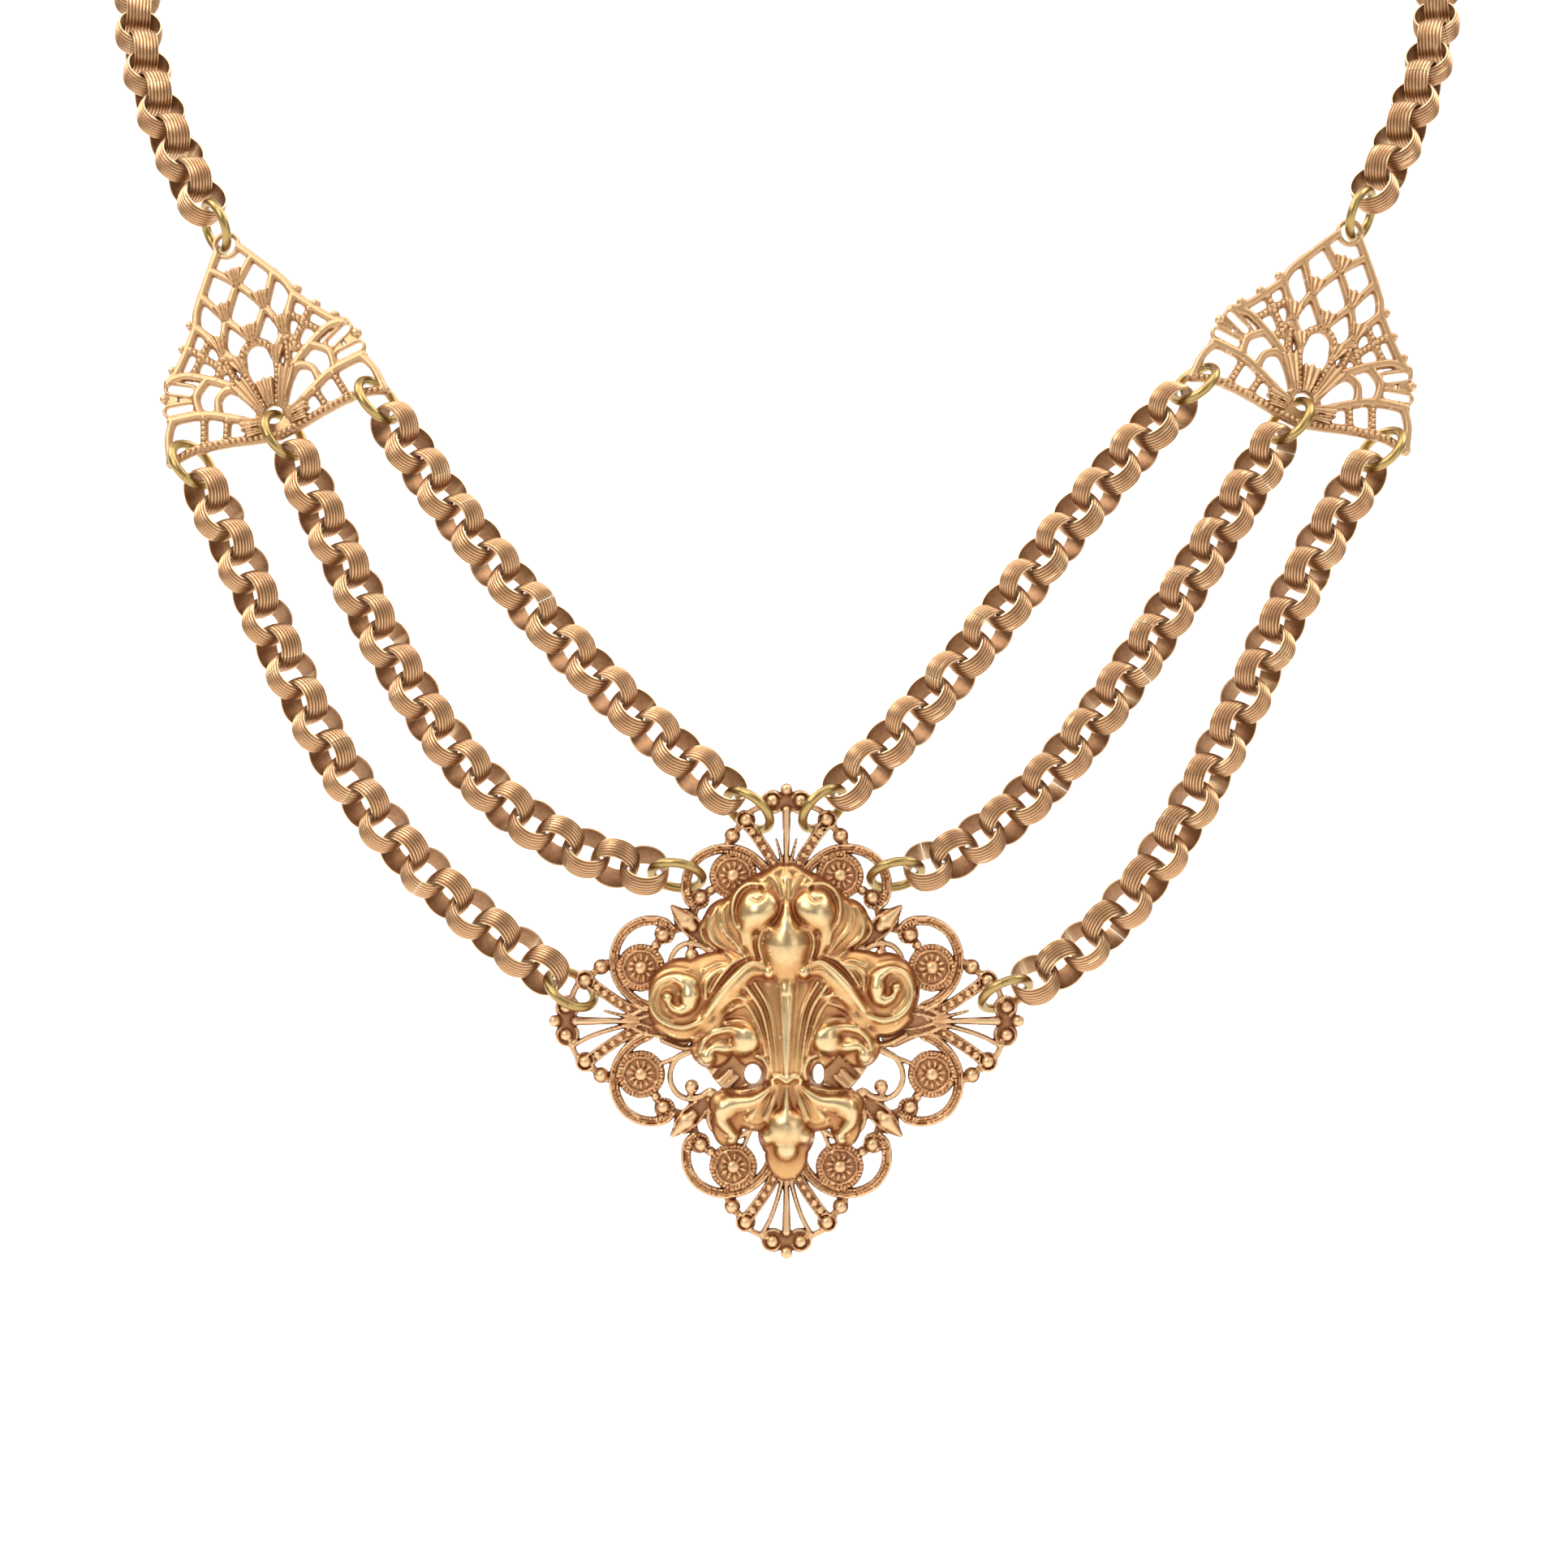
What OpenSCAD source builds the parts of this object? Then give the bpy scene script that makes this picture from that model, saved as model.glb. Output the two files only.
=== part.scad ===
/* [Setting] */
// How far the centre of the diamond plate hangs below the nape
plate_drop = 145; // [142:1:148]
// How far the diamond plate stands in front of the nape
plate_reach = 88; // [86:1:90]
// Radius of the chest that the front lies on, seen from above
chest_r = 350; // [340:10:360]

/* [Links] */
// Outer diameter of a chain link
link_d = 5.95; // [5.9:0.01:5.99]
// Width of a link's band
link_w = 2.95; // [2.85:0.05:2.95]
// Thickness of a link's band
link_t = 0.2; // [0.18:0.01:0.21]
// How far the crown of the band stands above its edges
link_crown = 0.25; // [0.23:0.01:0.28]
// Diameter of the jump ring wire
ring_wire = 1.15; // [1.1:0.01:1.16]
// Radius of a jump ring to the middle of its wire
ring_r = 3.02; // [3:0.01:3.05]

/* [Metalwork] */
// Thickness of the stamped sheet
sheet = 0.8; // [0.7:0.05:0.85]
// Height of the boss above the face of its plate
boss_h = 4.8; // [4:0.1:5.2]
// Radius of the clasp ring to the middle of its wire
clasp_r = 3.6; // [3.5:0.05:3.8]
// Diameter of the clasp ring's wire
clasp_wire = 1.6; // [1.5:0.05:1.6]

/* [Hidden] */

link_tint = [0.62, 0.44, 0.28];
copper_tint = [0.80, 0.55, 0.36];
brass_tint = [0.72, 0.60, 0.33];

// Places in the front view are x and z from the nape, in millimetres
plate_z = -plate_drop;
plate_y = -plate_reach;
eyelet_left = [-68.2, -51.4];
eyelet_right = [68.7, -49.8];
fan_lean = 19;
fan_turn = 11;
fan_pitch = 13;

// The ends of a chain or strand hold their ring at this distance, centre to centre
ring_step = 3.9;
clasp_step = 4.2;
ring_roll = 60;
step_in = 0.02;

// Vectors and curves

function unit(v) = v / norm(v);
function turn_x(a, p) = [p[0], p[1] * cos(a) - p[2] * sin(a), p[1] * sin(a) + p[2] * cos(a)];
function turn_y(a, p) = [p[0] * cos(a) + p[2] * sin(a), p[1], p[2] * cos(a) - p[0] * sin(a)];
function turn_z(a, p) = [p[0] * cos(a) - p[1] * sin(a), p[0] * sin(a) + p[1] * cos(a), p[2]];
function bezier(p, t) =
    let (s = 1 - t)
    s * s * s * p[0] + 3 * s * s * t * p[1] + 3 * s * t * t * p[2] + t * t * t * p[3];

// A smooth curve through the points of a stroke, with k steps between two of them
function through(p, k) = [
    for (i = [0 : len(p) - 2]) for (j = [0 : k - (i == len(p) - 2 ? 0 : 1)])
        let (t = j / k, a = p[max(i - 1, 0)], b = p[i], c = p[i + 1], d = p[min(i + 2, len(p) - 1)])
        (2 * b + (c - a) * t + (2 * a - 5 * b + 4 * c - d) * t * t
            + (3 * b - a - 3 * c + d) * t * t * t) / 2
];

// The chest: how far forward its surface lies at a place in the front view
function chest_y(x, z) =
    let (rise = max(0, z - plate_z - 22))
    plate_y + x * x / (2 * chest_r) + rise * rise / (4 * (rise + 20));
function chest_normal(x, z) =
    unit([(chest_y(x + 1, z) - chest_y(x - 1, z)) / 2, -1, (chest_y(x, z + 1) - chest_y(x, z - 1)) / 2]);

// A place on a fan, u across and w down from its eyelet
function eyelet(side) = side < 0 ? eyelet_left : eyelet_right;
function fan_point(side, u, w) =
    let (e = eyelet(side))
    [e[0], chest_y(e[0], e[1]), e[1]]
        + turn_z(side * fan_turn, turn_x(-fan_pitch, turn_y(side * fan_lean, [u, 0, -w])));

// Strands: side, the fan hole u and w, two handles x and z, the plate hole u and v, number of links
STRANDS = [
    [-1, [-11.9, 22.4], [-56, -107], [-57, -120], [-23, 2.1], 21],
    [-1, [0, 22.7], [-47, -102], [-39, -125], [-9.97, 16.9], 20],
    [-1, [11.9, 22.4], [-35, -93], [-19, -109], [-2.12, 23.1], 18],
    [1, [-11.9, 22.4], [31, -87], [24, -102], [2.12, 23.1], 18],
    [1, [0, 22.7], [46, -95], [31, -125], [9.97, 16.9], 20],
    [1, [11.9, 22.4], [54, -100], [49, -133], [23.1, 2.15], 22]
];
LOWER_LEFT = 0;
MIDDLE_LEFT = 1;
UPPER_LEFT = 2;
UPPER_RIGHT = 3;
MIDDLE_RIGHT = 4;
LOWER_RIGHT = 5;

// A route is two hole points and two handles; its ends are the centres of the rings
function strand_route(s) =
    let (
        from = fan_point(s[0], s[1][0], s[1][1]),
        to = [s[4][0], plate_y, plate_z + s[4][1]],
        h1 = [s[2][0], chest_y(s[2][0], s[2][1]), s[2][1]],
        h2 = [s[3][0], chest_y(s[3][0], s[3][1]), s[3][1]]
    )
    [from + ring_r * unit(h1 - from), h1, h2, to + ring_r * unit(h2 - to)];

// A neck chain leaves the eyelet up and outwards and comes round to the nape
function neck_route(side) =
    let (
        from = fan_point(side, 0, 0.1),
        h1 = [side * 103, -42, 8],
        h2 = [side * 60, 6, 5]
    )
    [from + ring_r * unit(h1 - from), h1, h2, [side * clasp_step, 0, 0]];

// A point of a route. A strand follows the chest between the heights of its two ends
function spot(route, t, on_chest) =
    let (p = bezier(route, t))
    !on_chest ? p : [
        p[0],
        chest_y(p[0], p[2])
            + (1 - t) * (route[0][1] - chest_y(route[0][0], route[0][2]))
            + t * (route[3][1] - chest_y(route[3][0], route[3][2])),
        p[2]
    ];
function heading(route, t, on_chest) =
    unit(spot(route, min(t + step_in, 1), on_chest) - spot(route, max(t - step_in, 0), on_chest));

// Which way the skin faces along a route, from the front of the chest over the shoulder to the nape
function facing(route, t, on_chest) =
    let (
        p = spot(route, t, on_chest),
        side = route[0][0] < 0 ? -1 : 1,
        s = 1 - t
    )
    on_chest ? chest_normal(p[0], p[2])
        : s * s * [side * 0.2, -1, 0.25] + 2 * s * t * [side * 1.4, -0.2, 1] + t * t * [0, 0.8, 0.9];

// Distance along a route against the route's own parameter
route_steps = 80;
function lengths(route, on_chest) = [
    for (
        i = 0, run = 0, last = spot(route, 0, on_chest);
        i <= route_steps;
        i = i + 1,
        run = run + norm(spot(route, min(i / route_steps, 1), on_chest) - last),
        last = spot(route, min(i / route_steps, 1), on_chest)
    ) [run, i / route_steps]
];

// Draws its child at t on a route, with x along the route and z turned by roll from the skin
module seat(route, t, on_chest, roll) {
    p = spot(route, t, on_chest);
    x = heading(route, t, on_chest);
    f = facing(route, t, on_chest);
    n = unit(f - (f * x) * x);
    b = cross(n, x);
    z = n * cos(roll) + b * sin(roll);
    y = cross(z, x);
    multmatrix([
        [x[0], y[0], z[0], p[0]],
        [x[1], y[1], z[1], p[1]],
        [x[2], y[2], z[2], p[2]],
        [0, 0, 0, 1]
    ]) children();
}

// Chain links and rings

// A link: a band with a round hole, crowned outwards
module link() {
    edge_r = link_d / 2 - link_crown;
    rotate_extrude($fn = 32)
        polygon([
            [edge_r - link_t, -link_w / 2], [edge_r, -link_w / 2], [link_d / 2, 0],
            [edge_r, link_w / 2], [edge_r - link_t, link_w / 2]
        ]);
}

module torus(r, wire) {
    rotate_extrude($fn = 48)
        translate([r, 0])
            circle(d = wire, $fn = 24);
}

// Links turn half a right angle to either side in turn, mirrored between the left and the right
module chain(route, side, count, on_chest, last) {
    table = lengths(route, on_chest);
    span = table[route_steps][0] - ring_step - last;
    color(link_tint)
        for (i = [0 : count - 1])
            seat(route, lookup(ring_step + span * i / (count - 1), table), on_chest,
                side * (i % 2 == 0 ? 45 : -45))
                link();
}

module strand(s) {
    chain(strand_route(STRANDS[s]), STRANDS[s][0], STRANDS[s][5], true, ring_step);
}

// The jump ring at the start of a strand, or at its end. It carries on the turn of the links, but
// stands steeper to the sheet
module strand_ring(s, t) {
    odd_end = t == 1 && STRANDS[s][5] % 2 == 0;
    color(brass_tint)
        seat(strand_route(STRANDS[s]), t, true, STRANDS[s][0] * (odd_end ? ring_roll : -ring_roll))
            torus(ring_r, ring_wire);
}

neck_links = 41;
module neck_chain(side) {
    chain(neck_route(side), side, neck_links, false, 0);
}

module neck_ring(side) {
    color(brass_tint)
        seat(neck_route(side), 0, false, -side * ring_roll)
            torus(ring_r, ring_wire);
}

// The closed clasp ring at the nape, one plain piece that both chains end on
module clasp() {
    color(brass_tint)
        rotate([90, 0, 0]) {
            torus(clasp_r, clasp_wire);
            translate([0, clasp_r + clasp_wire / 2, 0])
                sphere(d = 1.5, $fn = 24);
        }
}

// Stamped sheet

// A stroke of metal: a list of points u, v and the width at its two ends
module stroke(points, w0, w1, k = 2) {
    p = through(points, k);
    last = len(p) - 1;
    side = [for (i = [0 : last])
        let (d = unit(p[min(i + 1, last)] - p[max(i - 1, 0)]), w = w0 + (w1 - w0) * i / last)
        [-d[1], d[0]] * w / 2];
    polygon(concat(
        [for (i = [0 : last]) p[i] + side[i]],
        [for (i = [last : -1 : 0]) p[i] - side[i]]
    ));
}

module strokes(rows) {
    for (s = rows)
        stroke(s[2], s[0], s[1]);
}

module discs(rows) {
    for (d = rows)
        translate([d[1], d[2]])
            circle(r = d[0], $fn = 12);
}

// Small round balls raised on the sheet: radius, u and v
module balls(rows, z) {
    for (b = rows)
        translate([b[1], b[2], z])
            sphere(r = b[0], $fn = 20);
}

// The filigree plate: one eighth of it, between the upward axis and the 45 degree line.
// Strokes give the width at both ends and the points
PLATE_STROKES = [
    [1.1, 0.5, [[0, 24.9], [0, 17.5]]],
    [1.5, 1.3, [[4.7, 23.4], [3.15, 21.3], [1.8, 19.2], [0.9, 17.2]]],
    [0.7, 0.7, [[2.4, 25.5], [3.6, 25.1], [4.6, 24.5]]],
    [0.9, 0.8, [[4.9, 23.7], [6.3, 22.1], [6.9, 21.2]]],
    [1.25, 1.25, [
        [1.7, 16.3], [2.5, 17.9], [3.8, 19.25], [5.3, 20.1], [7, 20.4], [8.8, 20.15],
        [10.5, 19.2], [11.6, 17.6], [11.9, 15.9], [11.6, 14.4], [10.7, 13.6]
    ]],
    [1.2, 1, [[11.3, 14], [10.1, 14.6], [9, 15.4], [8, 15.9]]],
    [1, 1.2, [[10.7, 13.6], [11.2, 12.2]]],
    [0.7, 0.7, [[4.2, 12.8], [5.5, 13.6], [7.2, 13.7], [8.6, 12.9], [9.2, 11.6], [8.9, 10.2], [8.2, 9]]],
    [0.7, 1, [[9.1, 11.4], [7.8, 11.2]]],
    [0.6, 0.6, [[4.3, 12.9], [5, 14.7]]]
];
PLATE_DISCS = [
    [0.72, 0, 27.4], [1, 0, 26.4], [1.45, 1.6, 25.9], [0.7, 0, 25.2], [1.2, 4.85, 23.8],
    [0.95, 6.4, 21.9], [2.85, 6.3, 17.2], [1.25, 10.3, 14.4], [0.6, 9, 15.4], [0.85, 7.75, 11.2],
    [0.9, 9.5, 10.7], [1.1, 0, 18.5]
];
// A thin strip beside the spear of the corner, only where no ring passes
PLATE_STRIP = [[0.6, 0.6, [[2.9, 25.2], [1.95, 23.5], [1.25, 21.6], [0.7, 19.6], [0.4, 17.8]]]];
PLATE_BALLS = [
    [0.65, 1.65, 26.1], [0.68, 4.85, 23.8], [0.62, 6.35, 21.95], [0.68, 10.15, 14.6]
];
TIP_BALL = [[0.7, 0, 27.4]];
ROSETTE = [6.3, 17.2];
boss_gap = [4.6, 6.6];

module eighth() {
    strokes(PLATE_STROKES);
    discs(PLATE_DISCS);
    polygon([[0, 18.6], [1.2, 18.2], [2.2, 16.4], [2.5, 14], [4.3, 12.6], [4, 10], [0, 9]]);
    polygon([[8.7, 9.6], [9.6, 8.7], [11.5, 10.4], [12.4, 11.8], [13.5, 13.5], [11.8, 12.4], [10.4, 11.5]]);
}

module eightfold() {
    for (a = [0 : 90 : 270])
        rotate(a)
            for (m = [0, 1])
                mirror([m, 0, 0])
                    children();
}

// The four eighths below the two side corners and beside the lowest one
module lower_sectors() {
    for (s = [[180, 0], [180, 1], [90, 1], [-90, 0]])
        rotate(s[0])
            mirror([s[1], 0, 0])
                children();
}

// A rosette: a raised ring round a low disc and a dome
module rosette(lift) {
    translate([ROSETTE[0], ROSETTE[1], lift])
        rotate_extrude($fn = 32)
            polygon([
                [0, -0.2], [2.45, -0.2], [2.35, 0.4], [1.95, 0.4], [1.7, 0.12], [0.9, 0.12], [0.7, 0.5], [0, 0.6]
            ]);
}

module filigree_plate() {
    color(copper_tint)
        translate([0, plate_y, plate_z])
            rotate([90, 0, 0])
                translate([0, 0, -sheet / 2]) {
                    linear_extrude(sheet)
                        offset(delta = 0.01)
                            difference() {
                                union() {
                                    eightfold()
                                        eighth();
                                    lower_sectors()
                                        strokes(PLATE_STRIP);
                                    circle(r = 11, $fn = 48);
                                }
                                eightfold()
                                    translate(boss_gap)
                                        circle(r = 1.05, $fn = 12);
                            }
                    eightfold() {
                        rosette(sheet);
                        balls(PLATE_BALLS, sheet);
                    }
                    for (a = [0 : 90 : 270])
                        rotate(a)
                            balls(TIP_BALL, sheet);
                }
}

// A fan: one half of it, u across and v down from the eyelet
FAN_STROKES = [
    [0.9, 0.9, [[1.2, 0.4], [2.7, 2.5], [4.4, 5], [5.7, 7], [6.4, 8.9], [7.9, 11], [9.7, 13.2], [11.4, 14.7]]],
    [0.85, 0.85, [[-2.7, 2.5], [0, 5.3], [2.5, 9.2], [4, 13.1], [3.7, 15.6], [3, 18.6]]],
    [0.85, 0.85, [[4.6, 5.4], [2.5, 9.2], [0, 12.9]]],
    [0.9, 0.9, [[6.3, 8.9], [5.1, 10.9], [3.9, 13.2], [2.1, 15.4]]],
    [0.8, 0.8, [[7.9, 11.2], [6.6, 12.7], [5.2, 14.4], [4.6, 15.4]]],
    [0.8, 0.8, [[5, 10.9], [8.3, 14.6]]],
    [0.8, 0.8, [[3.8, 13.1], [5.6, 16.3]]],
    [0.85, 0.85, [[0, 13], [1.5, 13.9], [2.1, 16.3], [1.5, 19.2], [0.6, 22]]],
    [0.85, 1, [[11.4, 14.4], [9.2, 14.4], [6.4, 15.9], [4.6, 17.2], [2.7, 18.9], [0.9, 21.9]]],
    [0.8, 0.8, [[8.7, 19.6], [8.6, 17.4], [6.9, 15.9]]],
    [0.8, 1, [[6.5, 20.6], [6, 18.6], [4.4, 17.9], [2.9, 19.3], [1.4, 22]]],
    [0.85, 1, [[12.4, 19.3], [8.4, 19.9], [5.4, 21.3], [1.9, 23.4]]],
    [0.8, 0.8, [[12.2, 19.3], [13.3, 21.4], [13.8, 24.4]]],
    [0.85, 1.2, [[13.8, 24.4], [10.8, 23.8], [6.8, 24.2], [3, 25], [0, 25.5]]],
    [0.8, 0.8, [[8.3, 20], [9.3, 23.8]]],
    [0.8, 0.8, [[5.6, 21.3], [6.5, 24.1]]],
    [0.9, 1.9, [[1.2, 22], [3.2, 17.8]]],
    [1, 1.7, [[1.7, 23.3], [4, 22.7]]]
];
// Shells above the crossings, each a stroke that widens upwards
FAN_SHELLS = [
    [0.9, 2, [[0, 5.2], [0, 3.4]]],
    [0.9, 2, [[2.45, 9], [2.5, 7.2]]],
    [0.9, 2, [[0, 12.7], [0, 10.9]]],
    [0.9, 2, [[3.95, 12.9], [4.2, 11.1]]],
    [0.9, 1.7, [[2.1, 16.2], [2.7, 14.7]]],
    [1.2, 2.5, [[0, 21.2], [0, 18.1]]]
];
// Round ended slots: the middles of their two ends, u and v
FAN_SLOTS = [
    [[9.2, 16.4], [11.3, 15.3]],
    [[9.8, 18.4], [12.2, 18]]
];
slot_width = 1;
slot_wall = 0.45;
FAN_BALLS = [[0.55, 7.2, 8.3], [0.55, 8.9, 10.9], [0.55, 10.8, 13.1], [0.6, 12.7, 16.2]];
fan_sheet = 0.8;
shell_rise = 0.25;
eyelet_hole = 1.2;
hub_hole = 1.15;

module fan(side) {
    e = eyelet(side);
    color(copper_tint)
        translate([e[0], chest_y(e[0], e[1]), e[1]])
            rotate([0, 0, side * fan_turn])
                rotate([-fan_pitch, 0, 0])
                    rotate([0, side * fan_lean, 0])
                        rotate([90, 0, 0])
                            translate([0, 0, -fan_sheet / 2])
                                mirror([0, 1, 0]) {
                                    linear_extrude(fan_sheet)
                                        offset(delta = 0.01)
                                            fan_outline();
                                    for (m = [0, 1])
                                        mirror([m, 0, 0]) {
                                            linear_extrude(fan_sheet + shell_rise)
                                                offset(delta = -0.15)
                                                    strokes(FAN_SHELLS);
                                            balls(FAN_BALLS, fan_sheet / 2);
                                        }
                                }
}

module slots(width) {
    for (s = FAN_SLOTS) {
        stroke(s, width, width);
        discs([for (e = s) [width / 2, e[0], e[1]]]);
    }
}

module fan_outline() {
    difference() {
        union() {
            for (m = [0, 1])
                mirror([m, 0, 0]) {
                    strokes(FAN_STROKES);
                    strokes(FAN_SHELLS);
                    slots(slot_width + 2 * slot_wall);
                    discs([for (b = FAN_BALLS) [b[0], b[1] - 0.3, b[2] + 0.1]]);
                    discs([[0.5, 13.7, 24.2], [0.9, 11.6, 16.8], [0.6, 8.7, 17.4], [0.6, 9.9, 17.35], [0.5, 9.2, 19.2]]);
                }
            discs([[1.75, 0, 0], [2.5, 0, 23.3], [1.2, 0, 20.4], [0.6, 0, 25.5], [0.5, 0, 13]]);
        }
        for (m = [0, 1])
            mirror([m, 0, 0])
                slots(slot_width);
        circle(r = eyelet_hole, $fn = 20);
        translate([0, 22.8])
            circle(r = hub_hole, $fn = 20);
    }
}

// The scroll boss: a domed stamping whose relief is the highest of a set of ridges.
// Half of it: radius and height at both ends as a share of the boss, then three points u, v
BOSS_RIDGES = [
    [5.5, 6.5, 0.4, 0.42, [0, 12], [0, 7], [0, 0]],
    [6.5, 4.6, 0.42, 0.4, [0, 0], [0, -6], [0, -13]],
    [3.4, 3.2, 0.4, 0.36, [5, 4.6], [9, 5], [12.4, 3.4]],
    [1.4, 2.3, 0.72, 0.78, [4.4, 14.9], [3.8, 14.4], [3.1, 13.5]],
    [0.6, 0.6, 0.52, 0.44, [3.4, 17], [8.8, 14.8], [6.6, 9.4]],
    [0.6, 0.6, 0.44, 0.38, [3.6, 17.8], [10.8, 14.6], [8, 8.6]],
    [1.3, 1, 0.45, 0.4, [0, 17.6], [1.8, 18], [3, 17]],
    [2, 2.5, 0.84, 0.98, [0, 11.6], [0, 9.8], [0, 7.4]],
    [0.8, 1.2, 0.84, 0.88, [1.4, 11.2], [2.6, 9], [2.4, 6.6]],
    [1, 1.2, 0.92, 0.78, [2.3, 6.8], [8, 9.4], [14.2, 5.8]],
    [1.2, 0.9, 0.78, 0.62, [14.2, 5.8], [17.4, 0.6], [11.6, -0.9]],
    [1, 1.2, 0.9, 0.66, [2.5, 6.3], [6, 5], [7.4, 1.4]],
    [1.2, 1, 0.66, 0.58, [7.4, 1.4], [9.2, -2.2], [14, -1.2]],
    [1.2, 2.2, 0.85, 0.96, [9.8, 2.2], [11, 6.2], [12.4, 3.8]],
    [0.7, 0.9, 0.6, 0.7, [2.2, 5.2], [5.4, 3.4], [5.8, -0.4]],
    [2, 1.4, 0.88, 0.8, [4.8, -2.6], [5.8, -1.6], [7.4, -1.4]],
    [1, 1, 0.74, 0.64, [7.4, -1.4], [11, -2], [9, -4.3]],
    [1.9, 1, 0.8, 0.7, [0, 3.8], [0, 0], [0, -6.3]],
    [0.6, 0.6, 0.72, 0.66, [3, 4.8], [3, 0], [1.8, -6.2]],
    [0.9, 1, 0.8, 0.76, [0, -6.4], [1, -6.4], [1.6, -7]],
    [0.8, 1.9, 0.76, 0.84, [1.2, -7.4], [3, -11.4], [6.2, -9.8]],
    [1.9, 1, 0.84, 0.6, [6.2, -9.8], [9, -10.6], [6.8, -13.6]],
    [0.6, 0.7, 0.74, 0.8, [0.8, -8], [1.7, -9.6], [1.7, -11.6]],
    [1.6, 2.1, 0.74, 0.86, [0, -10.6], [0, -11.6], [0, -13]],
    [1.8, 1.9, 0.62, 0.36, [0, -15.2], [0, -16.4], [0, -17.4]],
    [1.2, 0.8, 0.64, 0.5, [1.8, -13.4], [2.6, -14.4], [2.2, -16]]
];
// Half width of the boss at a height v, and how far its rim stands up
BOSS_WIDTH = [
    [-18.6, 1.6], [-17, 3], [-15, 3.6], [-13.6, 7], [-11, 8.6], [-9, 8.6], [-7.4, 6.6], [-6.2, 7],
    [-5, 9.9], [-3.4, 10.4], [-1.6, 13.6], [0, 15.4], [3, 16], [4.6, 15.1], [5.6, 14.2], [7.2, 12], [8.4, 9.4],
    [11, 9.4], [13.4, 8.2], [14.2, 6], [15.2, 4.3], [17.2, 3.6], [18.8, 2.6]
];
rim = 0.4;
boss_rows = 58;
boss_columns = 44;
ridge_steps = 4;
boss_seat = 0.12;

function near(p, a, b) =
    let (d = b - a, t = max(0, min(1, (p - a) * d / (d * d + 0.0001))))
    [norm(p - a - t * d), t];
function ridge_height(p, r) =
    max([for (i = [0 : ridge_steps - 1])
        let (
            t0 = i / ridge_steps,
            t1 = (i + 1) / ridge_steps,
            hit = near(p, quadratic(r, t0), quadratic(r, t1)),
            t = t0 + hit[1] * (t1 - t0),
            q = hit[0] / (r[0] + (r[1] - r[0]) * t)
        )
        q >= 1 ? 0 : rim + ((r[2] + (r[3] - r[2]) * t) * boss_h - rim) * sqrt(1 - q * q)]);
function quadratic(r, t) = (1 - t) * (1 - t) * r[4] + 2 * t * (1 - t) * r[5] + t * t * r[6];
function boss_height(u, v) = max(rim, max([for (r = BOSS_RIDGES) ridge_height([abs(u), v], r)]));

module scroll_boss() {
    low = BOSS_WIDTH[0][0];
    high = BOSS_WIDTH[len(BOSS_WIDTH) - 1][0];
    n = boss_columns + 1;
    flat = [for (i = [0 : boss_rows]) let (v = low + (high - low) * i / boss_rows)
        for (j = [0 : boss_columns]) [lookup(v, BOSS_WIDTH) * (2 * j / boss_columns - 1), v]];
    top = [for (p = flat) [p[0], p[1], boss_height(p[0], p[1])]];
    base = [for (p = flat) [p[0], p[1], 0]];
    m = len(flat);
    faces = concat(
        [for (i = [0 : boss_rows - 1]) for (j = [0 : boss_columns - 1])
            for (f = [[0, n, 1], [1, n, n + 1]]) [for (k = f) i * n + j + k]],
        [for (i = [0 : boss_rows - 1]) for (e = [[i * n, i * n + n], [i * n + n + n - 1, i * n + n - 1]])
            for (f = [[e[0], e[0] + m, e[1]], [e[1], e[0] + m, e[1] + m]]) f],
        [for (j = [0 : boss_columns - 1])
            for (e = [[j + 1, j], [boss_rows * n + j, boss_rows * n + j + 1]])
                for (f = [[e[0], e[0] + m, e[1]], [e[1], e[0] + m, e[1] + m]]) f],
        [for (i = [1 : boss_rows - 2])
            for (f = [[0, n - 1, n], [n - 1, n + n - 1, n]]) [for (k = f) m + i * n + k]],
        [for (j = [0 : boss_columns - 1]) [m + n, m + j, m + j + 1]],
        [[m + n, m + n - 1, m + n + n - 1]],
        let (r = m + (boss_rows - 1) * n)
        [for (j = [0 : boss_columns - 1]) [r, r + n + j + 1, r + n + j]],
        let (r = m + (boss_rows - 1) * n)
        [[r, r + n - 1, r + n + n - 1]]
    );
    color(brass_tint)
        translate([0, plate_y - sheet / 2 - boss_seat, plate_z])
            rotate([90, 0, 0])
                difference() {
                    polyhedron(points = concat(top, base), faces = faces);
                    for (m = [-1, 1])
                        translate([m * boss_gap[0], -boss_gap[1], -1])
                            cylinder(r = 1, h = boss_h + 2, $fn = 20);
                }
}

neck_chain(-1);  // neck_chain_left
neck_chain(1);  // neck_chain_right
clasp();
strand(LOWER_LEFT);  // strand_lower_left
strand(MIDDLE_LEFT);  // strand_middle_left
strand(UPPER_LEFT);  // strand_upper_left
strand(UPPER_RIGHT);  // strand_upper_right
strand(MIDDLE_RIGHT);  // strand_middle_right
strand(LOWER_RIGHT);  // strand_lower_right
fan(-1);  // fan_left
fan(1);  // fan_right
filigree_plate();
scroll_boss();
neck_ring(-1);  // neck_ring_left
neck_ring(1);  // neck_ring_right
strand_ring(LOWER_LEFT, 0);  // fan_ring_lower_left
strand_ring(MIDDLE_LEFT, 0);  // fan_ring_middle_left
strand_ring(UPPER_LEFT, 0);  // fan_ring_upper_left
strand_ring(UPPER_RIGHT, 0);  // fan_ring_upper_right
strand_ring(MIDDLE_RIGHT, 0);  // fan_ring_middle_right
strand_ring(LOWER_RIGHT, 0);  // fan_ring_lower_right
strand_ring(LOWER_LEFT, 1);  // plate_ring_lower_left
strand_ring(MIDDLE_LEFT, 1);  // plate_ring_middle_left
strand_ring(UPPER_LEFT, 1);  // plate_ring_upper_left
strand_ring(UPPER_RIGHT, 1);  // plate_ring_upper_right
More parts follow.
